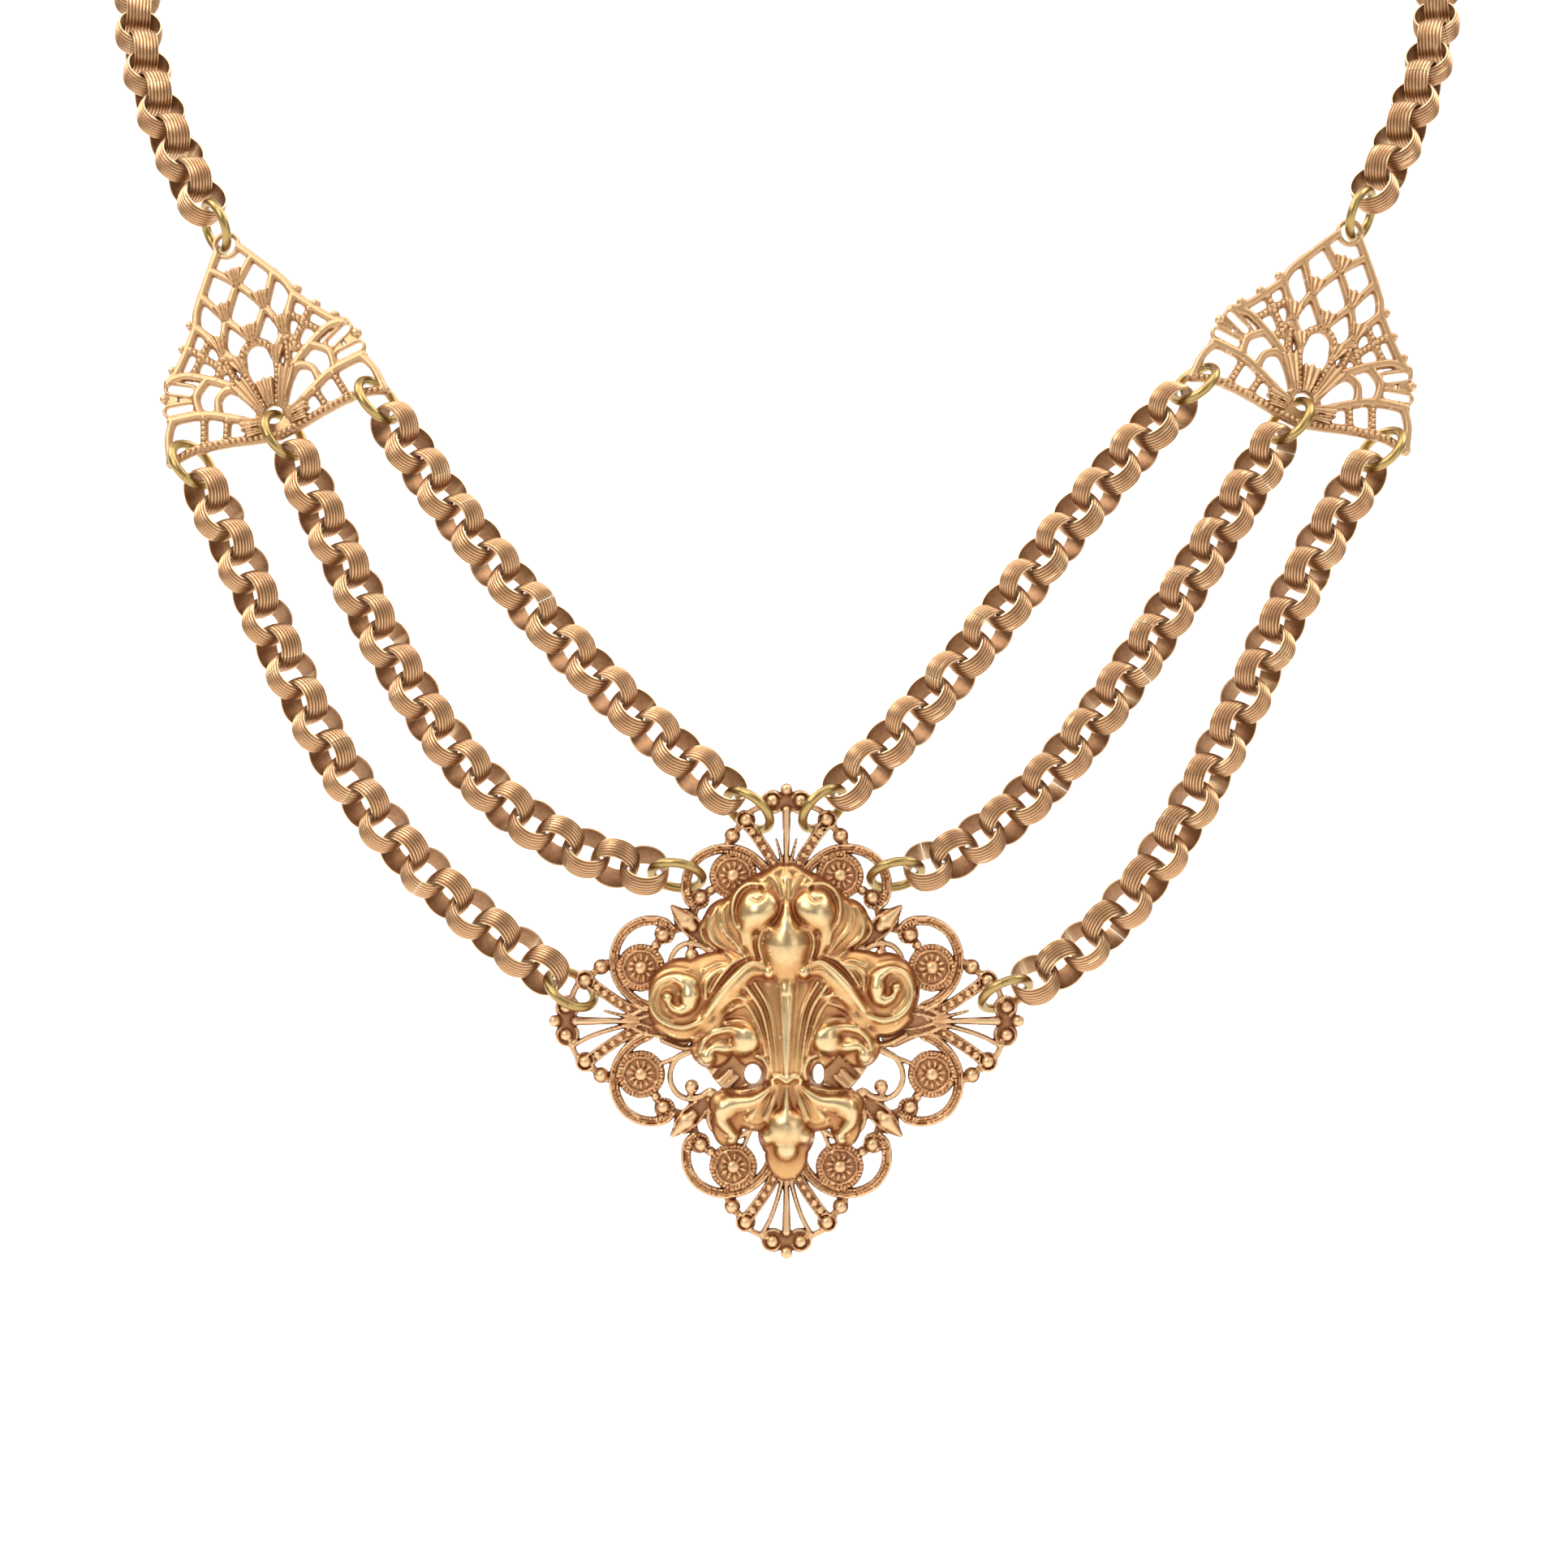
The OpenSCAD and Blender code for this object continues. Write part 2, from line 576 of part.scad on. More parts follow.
strand_ring(MIDDLE_RIGHT, 1);  // plate_ring_middle_right
strand_ring(LOWER_RIGHT, 1);  // plate_ring_lower_right
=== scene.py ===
import logging
import math
from dataclasses import dataclass, field
from enum import Enum
from typing import Any, Callable, Iterable, Optional, Sequence

import bpy
import numpy as np
from bpy.types import Material, Node, NodeSocket, NodeTree, Object
from mathutils import Matrix, Vector


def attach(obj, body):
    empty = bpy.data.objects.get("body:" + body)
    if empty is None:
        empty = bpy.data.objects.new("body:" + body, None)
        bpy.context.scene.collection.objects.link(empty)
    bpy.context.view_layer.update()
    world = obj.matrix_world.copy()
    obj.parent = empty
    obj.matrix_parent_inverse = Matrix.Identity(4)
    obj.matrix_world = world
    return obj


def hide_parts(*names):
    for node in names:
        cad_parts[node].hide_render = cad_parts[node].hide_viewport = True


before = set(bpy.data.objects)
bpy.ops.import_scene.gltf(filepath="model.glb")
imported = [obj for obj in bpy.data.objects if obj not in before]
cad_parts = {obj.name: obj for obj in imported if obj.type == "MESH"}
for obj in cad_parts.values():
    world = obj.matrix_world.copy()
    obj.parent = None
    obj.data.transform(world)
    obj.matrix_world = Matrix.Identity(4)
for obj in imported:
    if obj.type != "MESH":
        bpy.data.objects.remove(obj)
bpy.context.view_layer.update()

logging.basicConfig(level=logging.INFO, format="%(levelname)s %(message)s")
log = logging.getLogger("festoon")
Array = np.ndarray

# Lengths of the forms are in millimetres, and only the finished vertices in metres
MM = 0.001
# Place of the plate's middle, height of a sheet's back, and height of the boss's back over the plate
PLATE_Y, PLATE_Z = -88.0, -145.0
PLATE_BACK, BOSS_SEAT = -0.4, 0.52
# Upper eyelets of the fans, x and z, by side
EYELETS = {-1: (-68.2, -51.4), 1: (68.7, -49.8)}
# Radius of the chest's curve across, how far over the plate it starts to lean back, and how softly
CHEST_R, CHEST_RISE, CHEST_EASE = 350.0, 22, 20
# Value of plain metal in the relief, and of a place far outside the metal
PLAIN = 0.6
OUTSIDE = -9.0
# How near to the ends of a grid step a rim point may lie
EDGE_REACH = (0.1, 0.9)
# What hollows are measured against: reach in millimetres, least steps, and share in the shade
SURROUNDINGS = ((0.35, 1, 0.9), (1.1, 2, 0.55))


class Slot(Enum):
    """Material slots of the record."""

    CHAIN = "chain"
    FILIGREE = "filigree"
    BOSS = "boss"
    RING = "ring"


@dataclass(frozen=True)
class Finish:
    """Colours and gloss of one plated metal.

    Attributes:
        title: Name of the finish.
        metal: Colour of the plain metal.
        recess: Colour in the recesses: the plating's dark patina there, and painted shade.
        bright: Colour where edges and crowns are worn, and their painted highlight.
        roughness: Gloss of the plain metal.
        recess_roughness: Gloss in the recesses.
        grain: Height of the fine grain in metres.
        tone: Strength of the slow change of colour over the surface.
        edge: How strongly worn edges and crowns lighten, with their painted highlight.
    """

    title: str
    metal: tuple
    recess: tuple
    bright: tuple
    roughness: float
    recess_roughness: float
    grain: float = 0.00003
    tone: float = 0.4
    edge: float = 0.8


# Each finish's recess colour is patina with painted shade, and its bright colour wear with a painted
# highlight
CHAIN_FINISH = Finish("chain", (0.53, 0.285, 0.14), (0.17, 0.078, 0.035), (0.76, 0.55, 0.32), 0.36, 0.55)
PLATE_FINISH = Finish("plate", (0.55, 0.285, 0.133), (0.165, 0.06, 0.026), (0.78, 0.55, 0.31), 0.41, 0.52,
                      grain=0.00004)
FAN_FINISH = Finish("fan", (0.55, 0.33, 0.165), (0.25, 0.115, 0.05), (0.76, 0.58, 0.36), 0.42, 0.52,
                    grain=0.00004, edge=0.7)
BOSS_FINISH = Finish("boss", (0.56, 0.32, 0.13), (0.32, 0.125, 0.052), (0.73, 0.60, 0.34), 0.31, 0.45,
                     tone=0.5)
RING_FINISH = Finish("ring", (0.29, 0.18, 0.055), (0.14, 0.075, 0.024), (0.54, 0.39, 0.16), 0.31, 0.42,
                     grain=0.00002, tone=0.35, edge=0.5)


def group_socket(group: NodeTree, name: str, kind: str, output: bool = False) -> None:
    """Adds a socket to a node group.

    Args:
        group: The node group.
        name: Name of the socket.
        kind: Socket type.
        output: Whether it is an output.
    """
    group.interface.new_socket(name, in_out="OUTPUT" if output else "INPUT", socket_type=kind)


def node(tree: NodeTree, kind: str, **values: Any) -> Node:
    """Adds a node.

    Args:
        tree: The node tree.
        kind: Node type.
        values: The node's own properties, and with a leading _ the defaults of its inputs.

    Returns:
        The node.
    """
    made = tree.nodes.new(kind)
    for key, value in values.items():
        if key.startswith("_"):
            made.inputs[key[1:]].default_value = value
        else:
            setattr(made, key, value)
    return made


def feed(tree: NodeTree, socket: NodeSocket, value: Any) -> None:
    """Links an input to an output, or sets it to a plain value.

    Args:
        tree: The node tree.
        socket: The input.
        value: The output or the plain value.
    """
    if isinstance(value, NodeSocket):
        tree.links.new(value, socket)
    else:
        socket.default_value = value


def maths(tree: NodeTree, operation: str, *values: Any, clamp: bool = False) -> NodeSocket:
    """Adds a calculation.

    Args:
        tree: The shader tree.
        operation: What it does.
        values: Outputs or numbers that go into it, in order.
        clamp: Whether the result is kept from 0 to 1.

    Returns:
        Its output.
    """
    made = node(tree, "ShaderNodeMath", operation=operation, use_clamp=clamp)
    for socket, value in zip(made.inputs, values):
        feed(tree, socket, value)
    return made.outputs[0]


def ramp(tree: NodeTree, value: NodeSocket, low: float, high: float, start: float = 0.0, end: float = 1.0,
         curve: str = "SMOOTHSTEP") -> NodeSocket:
    """Maps a range of values onto another one.

    Args:
        tree: The shader tree.
        value: What is mapped.
        low: Value that gives the start.
        high: Value that gives the end.
        start: Result at the low value.
        end: Result at the high value.
        curve: Kind of passage between them.

    Returns:
        The mapped value.
    """
    made = node(tree, "ShaderNodeMapRange", interpolation_type=curve)
    numbers = (value, low, high, start, end)
    for key, number in zip(("Value", "From Min", "From Max", "To Min", "To Max"), numbers):
        feed(tree, made.inputs[key], number)
    return made.outputs["Result"]


def patina_and_painted_light_group() -> NodeTree:
    """Builds the shared patina and painted light: colour, roughness and height from the relief and the
    object's own place.

    Returns:
        The node group with the inputs Metal, Recess, Bright, Tone, Edge, Gloss and Recess gloss.
    """
    g = bpy.data.node_groups.new("PatinaAndPaintedLight", "ShaderNodeTree")
    for name in ("Metal", "Recess", "Bright"):
        group_socket(g, name, "NodeSocketColor")
    for name in ("Tone", "Edge", "Gloss", "Recess gloss"):
        group_socket(g, name, "NodeSocketFloat")
    group_socket(g, "Color", "NodeSocketColor", output=True)
    for name in ("Roughness", "Height"):
        group_socket(g, name, "NodeSocketFloat", output=True)
    start = node(g, "NodeGroupInput").outputs
    end = node(g, "NodeGroupOutput").inputs
    place = node(g, "ShaderNodeTexCoord").outputs["Object"]

    def noise(scale: float, detail: float, roughness: float) -> NodeSocket:
        """Adds a noise over the object's own place."""
        made = node(g, "ShaderNodeTexNoise", _Scale=scale, _Detail=detail, _Roughness=roughness)
        feed(g, made.inputs["Vector"], place)
        return made.outputs["Fac"]

    def attribute(name: str) -> NodeSocket:
        """Reads a value of the vertices."""
        return node(g, "ShaderNodeAttribute", attribute_name=name).outputs["Fac"]

    def mix(factor: Any, a: Any, b: Any) -> NodeSocket:
        """Passes from colour a to colour b."""
        made = node(g, "ShaderNodeMix", data_type="RGBA")
        for index, value in ((0, factor), (6, a), (7, b)):
            feed(g, made.inputs[index], value)
        return made.outputs[2]

    slow, fine, grain = noise(130.0, 4.0, 0.6), noise(1500.0, 5.0, 0.65), noise(5200.0, 3.0, 0.6)
    # low relief, broken up by the fine noise, gives the dark of the recesses: patina and painted shade
    low = maths(g, "ADD", attribute("relief"), maths(g, "MULTIPLY_ADD", fine, 0.34, -0.17))
    dark = ramp(g, low, 0.12, 0.66, 1.0, 0.0)
    # crowns and edges lighten as wear and as a painted highlight; a flat back's long cells only have rim
    # points, so they show no lightened edge
    point = ramp(g, node(g, "ShaderNodeNewGeometry").outputs["Pointiness"], 0.505, 0.6)
    rim = maths(g, "MULTIPLY", point, maths(g, "SUBTRACT", 1.0, attribute("rear")))
    high = maths(g, "MAXIMUM", rim, ramp(g, low, 0.66, 1.0, 0.0, 0.85))
    worn_and_highlit = maths(g, "MULTIPLY", high, start["Edge"], clamp=True)
    # the slow noise lets the plain metal drift part of the way to the colour of the recesses
    drift = maths(g, "MULTIPLY", ramp(g, slow, 0.35, 0.68, curve="LINEAR"), start["Tone"], clamp=True)
    plain = mix(drift, start["Metal"], mix(0.45, start["Metal"], start["Recess"]))
    shaded = mix(dark, plain, start["Recess"])
    feed(g, end["Color"], mix(worn_and_highlit, shaded, start["Bright"]))
    gloss = node(g, "ShaderNodeMix", data_type="FLOAT")
    for index, value in ((0, dark), (2, start["Gloss"]), (3, start["Recess gloss"])):
        feed(g, gloss.inputs[index], value)
    spread = maths(g, "MULTIPLY_ADD", fine, 0.16, -0.08)
    feed(g, end["Roughness"], maths(g, "ADD", gloss.outputs[0], spread, clamp=True))
    feed(g, end["Height"], maths(g, "MULTIPLY_ADD", fine, 0.5, grain))
    return g


def metal(finish: Finish, group: NodeTree) -> Material:
    """Makes the material of a finish.

    Args:
        finish: Colours and gloss.
        group: The shared group of patina and painted light.

    Returns:
        The material.
    """
    m = bpy.data.materials.new("metal_" + finish.title)
    m.use_nodes = True
    tree = m.node_tree
    shader = tree.nodes["Principled BSDF"].inputs
    shader["Metallic"].default_value = 1.0
    use = node(tree, "ShaderNodeGroup", node_tree=group)
    for key, value in (("Metal", (*finish.metal, 1)), ("Recess", (*finish.recess, 1)),
                       ("Bright", (*finish.bright, 1)), ("Tone", finish.tone), ("Edge", finish.edge),
                       ("Gloss", finish.roughness), ("Recess gloss", finish.recess_roughness)):
        use.inputs[key].default_value = value
    bump = node(tree, "ShaderNodeBump", _Strength=0.6, _Distance=finish.grain)
    feed(tree, bump.inputs["Height"], use.outputs["Height"])
    feed(tree, shader["Base Color"], use.outputs["Color"])
    feed(tree, shader["Roughness"], use.outputs["Roughness"])
    feed(tree, shader["Normal"], bump.outputs["Normal"])
    m.diffuse_color = (*finish.metal, 1)
    return m


# Curves in the plane of a sheet


def through(points: Sequence, k: int = 5) -> Array:
    """Runs a smooth curve through points.

    Args:
        points: Places u, v.
        k: Steps between two points.

    Returns:
        The curve's points as an array.
    """
    p = np.asarray(points, float)
    if len(p) == 2:
        return p
    out = []
    for i in range(len(p) - 1):
        a, b, c, d = p[max(i - 1, 0)], p[i], p[i + 1], p[min(i + 2, len(p) - 1)]
        for j in range(k):
            t = j / k
            out.append((2 * b + (c - a) * t + (2 * a - 5 * b + 4 * c - d) * t * t
                        + (3 * b - a - 3 * c + d) * t ** 3) / 2)
    out.append(p[-1])
    return np.array(out)


def along(u: Array, v: Array, curve: Array) -> tuple:
    """Measures a field of places against a curve.

    Args:
        u: Places across.
        v: Places up.
        curve: Points of the curve.

    Returns:
        Distance from the curve, share of its length and length along it at the nearest point.
    """
    best = np.full(u.shape, 1e9)
    run = np.zeros(u.shape)
    total = 0.0
    for a, b in zip(curve[:-1], curve[1:]):
        d = b - a
        size = float(np.hypot(*d)) or 1e-9
        t = np.clip(((u - a[0]) * d[0] + (v - a[1]) * d[1]) / (size * size), 0, 1)
        gap = np.hypot(u - a[0] - t * d[0], v - a[1] - t * d[1])
        closer = gap < best
        best = np.where(closer, gap, best)
        run = np.where(closer, total + t * size, run)
        total += size
    return best, run / max(total, 1e-9), run


def blend(start: float, end: Optional[float], share: Array) -> Array:
    """Passes from a start value to an end value; without an end value it stays."""
    return start + ((start if end is None else end) - start) * share


@dataclass(frozen=True)
class Rib:
    """A raised line of metal.

    Attributes:
        w: Full width.
        h: Height.
        points: Points of its middle line.
        beads: Spacing of beads along it, or nothing for a smooth rib.
        w1: Full width at its end, where it is another one.
        h1: Height at its end, where it is another one.
    """

    w: float
    h: float
    points: tuple
    beads: float = 0.0
    w1: Optional[float] = None
    h1: Optional[float] = None


@dataclass(frozen=True)
class Spot:
    """A round place of a sheet.

    Attributes:
        r: Radius.
        u: Place across.
        v: Place up.
        h: Height of a dome on it, or nothing for flat metal.
    """

    r: float
    u: float
    v: float
    h: float = 0.0


class Relief:
    """Metal and relief of a sheet, evaluated at any place."""

    def __init__(self, ribs: Iterable[Rib], spots: Iterable[Spot], lines: Iterable[Rib] = (),
                 beads: Iterable[Spot] = ()) -> None:
        """Takes the forms of the sheet.

        Args:
            ribs: Ribs that are metal all through.
            spots: Spots that are metal all through.
            lines: Ribs that only stand on the sheet.
            beads: Domes that only stand on the sheet.
        """
        self.ribs = [(rib, through(rib.points)) for rib in ribs]
        self.raised = self.ribs + [(rib, through(rib.points)) for rib in lines]
        self.spots = list(spots)
        self.domes = [spot for spot in (*self.spots, *beads) if spot.h]

    def metal(self, u: Array, v: Array, melt: float = 0.0) -> Array:
        """Gives how far inside the metal each place is; outside it is negative.

        Args:
            u: Places across.
            v: Places up.
            melt: How far metal runs together in the corners, in millimetres.

        Returns:
            The distances in millimetres.
        """
        s = np.full(u.shape, OUTSIDE)
        for rib, curve in self.ribs:
            near = self._near(u, v, rib, curve, 1.0)
            if near is None:
                continue
            d, share, _ = along(u[near], v[near], curve)
            own = blend(rib.w, rib.w1, share) / 2 - d
            s[near] = melt * np.logaddexp(s[near] / melt, own / melt) if melt else np.maximum(s[near], own)
        for spot in self.spots:
            s = np.maximum(s, spot.r - np.hypot(u - spot.u, v - spot.v))
        return s

    def height(self, u: Array, v: Array) -> Array:
        """Gives the height of the relief above the face of the sheet.

        Args:
            u: Places across.
            v: Places up.

        Returns:
            The heights in millimetres.
        """
        h = np.zeros(u.shape)
        for rib, curve in self.raised:
            near = self._near(u, v, rib, curve, 0.05)
            if near is None:
                continue
            d, share, run = along(u[near], v[near], curve)
            w = np.maximum(blend(rib.w, rib.w1, share) / 2, 1e-3)
            if rib.beads:
                d = np.hypot(d, np.mod(run, rib.beads) - rib.beads / 2)
                w = np.minimum(w, rib.beads / 2)
            rise = blend(rib.h, rib.h1, share) * np.sqrt(np.clip(1 - (d / w) ** 2, 0, 1))
            h[near] = np.maximum(h[near], rise)
        for spot in self.domes:
            q = np.hypot(u - spot.u, v - spot.v) / spot.r
            h = np.maximum(h, spot.h * np.sqrt(np.clip(1 - q * q, 0, 1)))
        return h

    @staticmethod
    def _near(u: Array, v: Array, rib: Rib, curve: Array, beyond: float) -> Optional[Array]:
        """Picks the places in reach of a rib.

        Args:
            u: Places across.
            v: Places up.
            rib: The rib.
            curve: Its curve.
            beyond: How far past its metal a place may lie.

        Returns:
            Whether each place is in reach, or None if none is.
        """
        reach = max(rib.w, rib.w1 or 0.0) / 2 + beyond
        lo, hi = curve.min(0) - reach, curve.max(0) + reach
        near = (u > lo[0]) & (u < hi[0]) & (v > lo[1]) & (v < hi[1])
        return near if near.any() else None


def rounded(inside: Array, reach: float) -> Array:
    """Gives the share of its full height that a rounded rim has at each distance inside the metal."""
    return np.sqrt(1 - (1 - np.clip(inside / reach, 0, 1)) ** 2)


def cut_sheet(us: Array, vs: Array, inside: Array, front: Callable, back: float) -> tuple:
    """Cuts a sheet with a relief out of a grid.

    Args:
        us: Grid places across.
        vs: Grid places up.
        inside: How far inside the metal each grid place is.
        front: Gives the height of the front face at places u, v with their distance inside.
        back: Height of the flat back.

    Returns:
        Vertices u, v, height; faces; and how many of the vertices are on the front.
    """
    nu, nv = len(us), len(vs)
    uu, vv = np.meshgrid(us, vs, indexing="ij")
    s = inside.copy()
    s[0, :] = s[-1, :] = s[:, 0] = s[:, -1] = -1.0
    full = s > 0
    corner = np.full((nu, nv), -1)
    corner[full] = np.arange(full.sum())
    points = [np.stack([uu[full], vv[full], s[full]], 1)]
    count = int(full.sum())
    edge_ids = []
    # a rim point on each grid line between a place in the metal and one outside
    for a, b, du, dv in ((s[:-1], s[1:], us[1] - us[0], 0), (s[:, :-1], s[:, 1:], 0, vs[1] - vs[0])):
        cross = (a > 0) != (b > 0)
        i, j = np.nonzero(cross)
        t = np.clip(a[cross] / (a[cross] - b[cross]), *EDGE_REACH)
        ids = np.full(cross.shape, -1)
        ids[cross] = count + np.arange(len(i))
        count += len(i)
        edge_ids.append(ids)
        points.append(np.stack([uu[i, j] + t * du, vv[i, j] + t * dv, np.zeros(len(i))], 1))
    flat = np.concatenate(points)
    top = np.stack([flat[:, 0], flat[:, 1], front(flat[:, 0], flat[:, 1], flat[:, 2])], 1)
    under = top.copy()
    under[:, 2] = back
    # the four corners of each cell, the rim points between them, and which corners are metal
    corners = [corner[:-1, :-1], corner[1:, :-1], corner[1:, 1:], corner[:-1, 1:]]
    across = [edge_ids[0][:, :-1], edge_ids[1][1:, :], edge_ids[0][:, 1:], edge_ids[1][:-1, :]]
    state = sum((c >= 0).astype(int) << i for i, c in enumerate(corners))
    faces = []
    for case in range(1, 16):
        cells = state == case
        if not cells.any():
            continue
        chain, walls = [], []
        for i in range(4):
            here, there = case >> i & 1, case >> (i + 1) % 4 & 1
            if here:
                chain.append(corners[i][cells])
            if here != there:
                if not here:
                    walls.append(len(chain))
                chain.append(across[i][cells])
        ring = np.stack(chain, 1)
        faces += ring.tolist()
        if case < 15:
            faces += (ring[:, ::-1] + count).tolist()
        for k in walls:
            a, b = ring[:, k - 1], ring[:, k]
            faces += np.stack([b, a, a + count, b + count], 1).tolist()
    # the flat back takes its whole cells in long strips
    whole = np.pad((state == 15).astype(int), ((0, 0), (1, 1)))
    i0, j0 = np.nonzero(np.diff(whole, axis=1) == 1)
    i1, j1 = np.nonzero(np.diff(whole, axis=1) == -1)
    strips = np.stack([corner[i0, j0], corner[i1, j1], corner[i1 + 1, j1], corner[i0 + 1, j0]], 1)
    faces += (strips + count).tolist()
    return np.concatenate([top, under]), faces, count


def blur(grid: Array, weight: Array, reach: int) -> Array:
    """Averages a grid over its surroundings, where it has weight.

    Args:
        grid: Values.
        weight: 1 where a value counts.
        reach: Half size of the surroundings in steps.

    Returns:
        The averages.
    """
    def boxed(field: Array) -> Array:
        """Sums over a square twice, along each axis in turn."""
        for axis in (0, 1):
            for _ in range(2):
                pad = [(reach + 1, reach) if k == axis else (0, 0) for k in (0, 1)]
                total = np.cumsum(np.pad(field, pad), axis=axis)
                n = total.shape[axis]
                lead, back = np.arange(2 * reach + 1, n), np.arange(n - 2 * reach - 1)
                field = (np.take(total, lead, axis) - np.take(total, back, axis)) / (2 * reach + 1)
        return field

    return boxed(grid * weight) / np.maximum(boxed(weight), 1e-3)


def sampled(grid: Array, us: Array, vs: Array, u: Array, v: Array) -> Array:
    """Reads a grid between its places.

    Args:
        grid: Values at the places us, vs.
        us: Evenly spaced places across.
        vs: Evenly spaced places up.
        u: Places asked for, across.
        v: Places asked for, up.

    Returns:
        The values there.
    """
    x = np.clip((u - us[0]) / (us[1] - us[0]), 0, len(us) - 1.001)
    y = np.clip((v - vs[0]) / (vs[1] - vs[0]), 0, len(vs) - 1.001)
    i, j = x.astype(int), y.astype(int)
    x, y = x - i, y - j
    return ((grid[i, j] * (1 - x) + grid[i + 1, j] * x) * (1 - y)
            + (grid[i, j + 1] * (1 - x) + grid[i + 1, j + 1] * x) * y)


def hollows(points: Array, step: float, size: float) -> Array:
    """Says how far each point of a front face stands out of its surroundings, for its patina, painted shade
    and painted highlight.

    Args:
        points: Places u, v, height of the front.
        step: Spacing of the grid.
        size: Height difference that makes a full change of shade.

    Returns:
        From 0 deep in a hollow to 1 on a crown; PLAIN on plain metal.
    """
    low = points[:, :2].min(0)
    cell = np.round((points[:, :2] - low) / step).astype(int)
    shape = tuple(cell.max(0) + 1)
    total, count = np.zeros(shape), np.zeros(shape)
    np.add.at(total, tuple(cell.T), points[:, 2])
    np.add.at(count, tuple(cell.T), 1.0)
    grid = total / np.maximum(count, 1)
    weight = (count > 0).astype(float)
    rise = sum(share * (grid - blur(grid, weight, max(least, round(reach / step))))
               for reach, least, share in SURROUNDINGS)
    return np.clip((PLAIN + rise / size)[tuple(cell.T)], 0, 1)


def add_mesh(name: str, points: Array, faces: list, material: Material, relief: Optional[Array] = None,
             angle: float = 40.0) -> Object:
    """Makes a smooth mesh piece with its place in its vertices.

    Args:
        name: Name of the piece.
        points: Vertices in metres.
        faces: Faces.
        material: Its material.
        relief: How high each vertex stands in the relief, from 0 in a recess to 1; it sets the patina and
            painted shade of recesses and the wear and painted highlight of crowns. Where only the front's
            vertices have a value, the rest is a plain back.
        angle: Edges sharper than this many degrees stay sharp.

    Returns:
        The object.
    """
    mesh = bpy.data.meshes.new(name)
    mesh.from_pydata(points.tolist(), [], faces)
    values = np.ones(len(points)) if relief is None else np.asarray(relief)
    behind = len(points) - len(values)
    for key, front, back in (("relief", values, PLAIN), ("rear", np.zeros(len(values)), 1.0)):
        attribute = mesh.attributes.new(key, "FLOAT", "POINT")
        attribute.data.foreach_set("value", np.concatenate([front, np.full(behind, back)]).astype(np.float32))
    mesh.polygons.foreach_set("use_smooth", [True] * len(mesh.polygons))
    mesh.set_sharp_from_angle(angle=math.radians(angle))
    mesh.materials.append(material)
    mesh.update()
    made = bpy.data.objects.new(name, mesh)
    bpy.context.collection.objects.link(made)
    return made


# The plate

# Height of the face, and height and reach of its rounded rim
PLATE_FACE, PLATE_RIM, PLATE_RIM_REACH = 0.08, 0.3, 0.24
# Middle of the rosette, twists of its rope and number of its petals
ROSETTE, ROPE_TURNS, PETALS = (6.3, 17.2), 34, 11
# Gaps beside the hooks: place up, size, then place across and narrowing of the left and the right ones
GAP_V, GAP_R, GAP_LEFT, GAP_RIGHT = 6.25, 1.15, (4.0, 1.2), (3.8, 1.8)
SCROLL = (
    (1.7, 16.3), (2.5, 17.9), (3.8, 19.25), (5.3, 20.1), (7, 20.4), (8.8, 20.15), (10.5, 19.2),
    (11.6, 17.6), (11.9, 15.9), (11.6, 14.4), (10.7, 13.6),
)
STRIP = ((4.7, 23.4), (3.15, 21.3), (1.8, 19.2), (0.9, 17.2))


def beside(points: Sequence, shift: float) -> tuple:
    """Sets a line off to the left of its direction.

    Args:
        points: Its points.
        shift: How far, in millimetres; to the right if negative.

    Returns:
        The points of the new line.
    """
    p = np.array(points, float)
    d = np.gradient(p, axis=0)
    d /= np.hypot(d[:, 0], d[:, 1])[:, None]
    return tuple(map(tuple, p + shift * np.stack([-d[:, 1], d[:, 0]], 1)))


# Ribs and spots of one eighth that are metal all through
PLATE_OUTLINE = (
    Rib(1.1, 0.62, ((0, 24.9), (0, 17.5)), w1=0.5, h1=0.3), Rib(1.5, 0.0, STRIP, w1=1.3),
    Rib(0.7, 0.2, ((2.4, 25.5), (3.6, 25.1), (4.6, 24.5))),
    Rib(0.9, 0.1, ((4.9, 23.7), (6.3, 22.1), (6.9, 21.2)), w1=0.8), Rib(1.25, 0.0, SCROLL),
    Rib(1.2, 0.0, ((11.3, 14), (10.1, 14.6), (9, 15.4), (8, 15.9)), w1=1.0),
    Rib(1.0, 0.0, ((10.7, 13.6), (11.2, 12.2)), w1=1.2),
    Rib(0.7, 0.3, ((4.2, 12.8), (5.5, 13.6), (7.2, 13.7), (8.6, 12.9), (9.2, 11.6), (8.9, 10.2), (8.2, 9))),
    Rib(1.0, 0.2, ((3.0, 10.4), (4.3, 12.9)), w1=0.8, h1=0.3),
    Rib(0.7, 0.2, ((9.1, 11.4), (7.8, 11.2)), w1=1.0), Rib(0.6, 0.2, ((4.3, 12.9), (5, 14.7))),
    Rib(1.6, 0.0, ((0, 18.6), (0.9, 15), (1.7, 12.6)), w1=2.9),
    Rib(2.2, 0.0, ((9.0, 9.0), (11.0, 11.0), (12.0, 12.0)), w1=2.7),
    Rib(2.7, 0.0, ((12.0, 12.0), (13.5, 13.5)), w1=0.6),
)
PLATE_SPOTS = (
    Spot(0.72, 0, 27.4, 0.72), Spot(1.0, 0, 26.4), Spot(1.45, 1.6, 25.9), Spot(0.7, 0, 25.2),
    Spot(1.2, 4.85, 23.8), Spot(0.95, 6.4, 21.9), Spot(2.85, 6.3, 17.2), Spot(1.25, 10.3, 14.4),
    Spot(0.6, 9, 15.4), Spot(0.85, 7.75, 11.2), Spot(0.9, 9.5, 10.7), Spot(1.1, 0, 18.5), Spot(11.0, 0, 0),
)
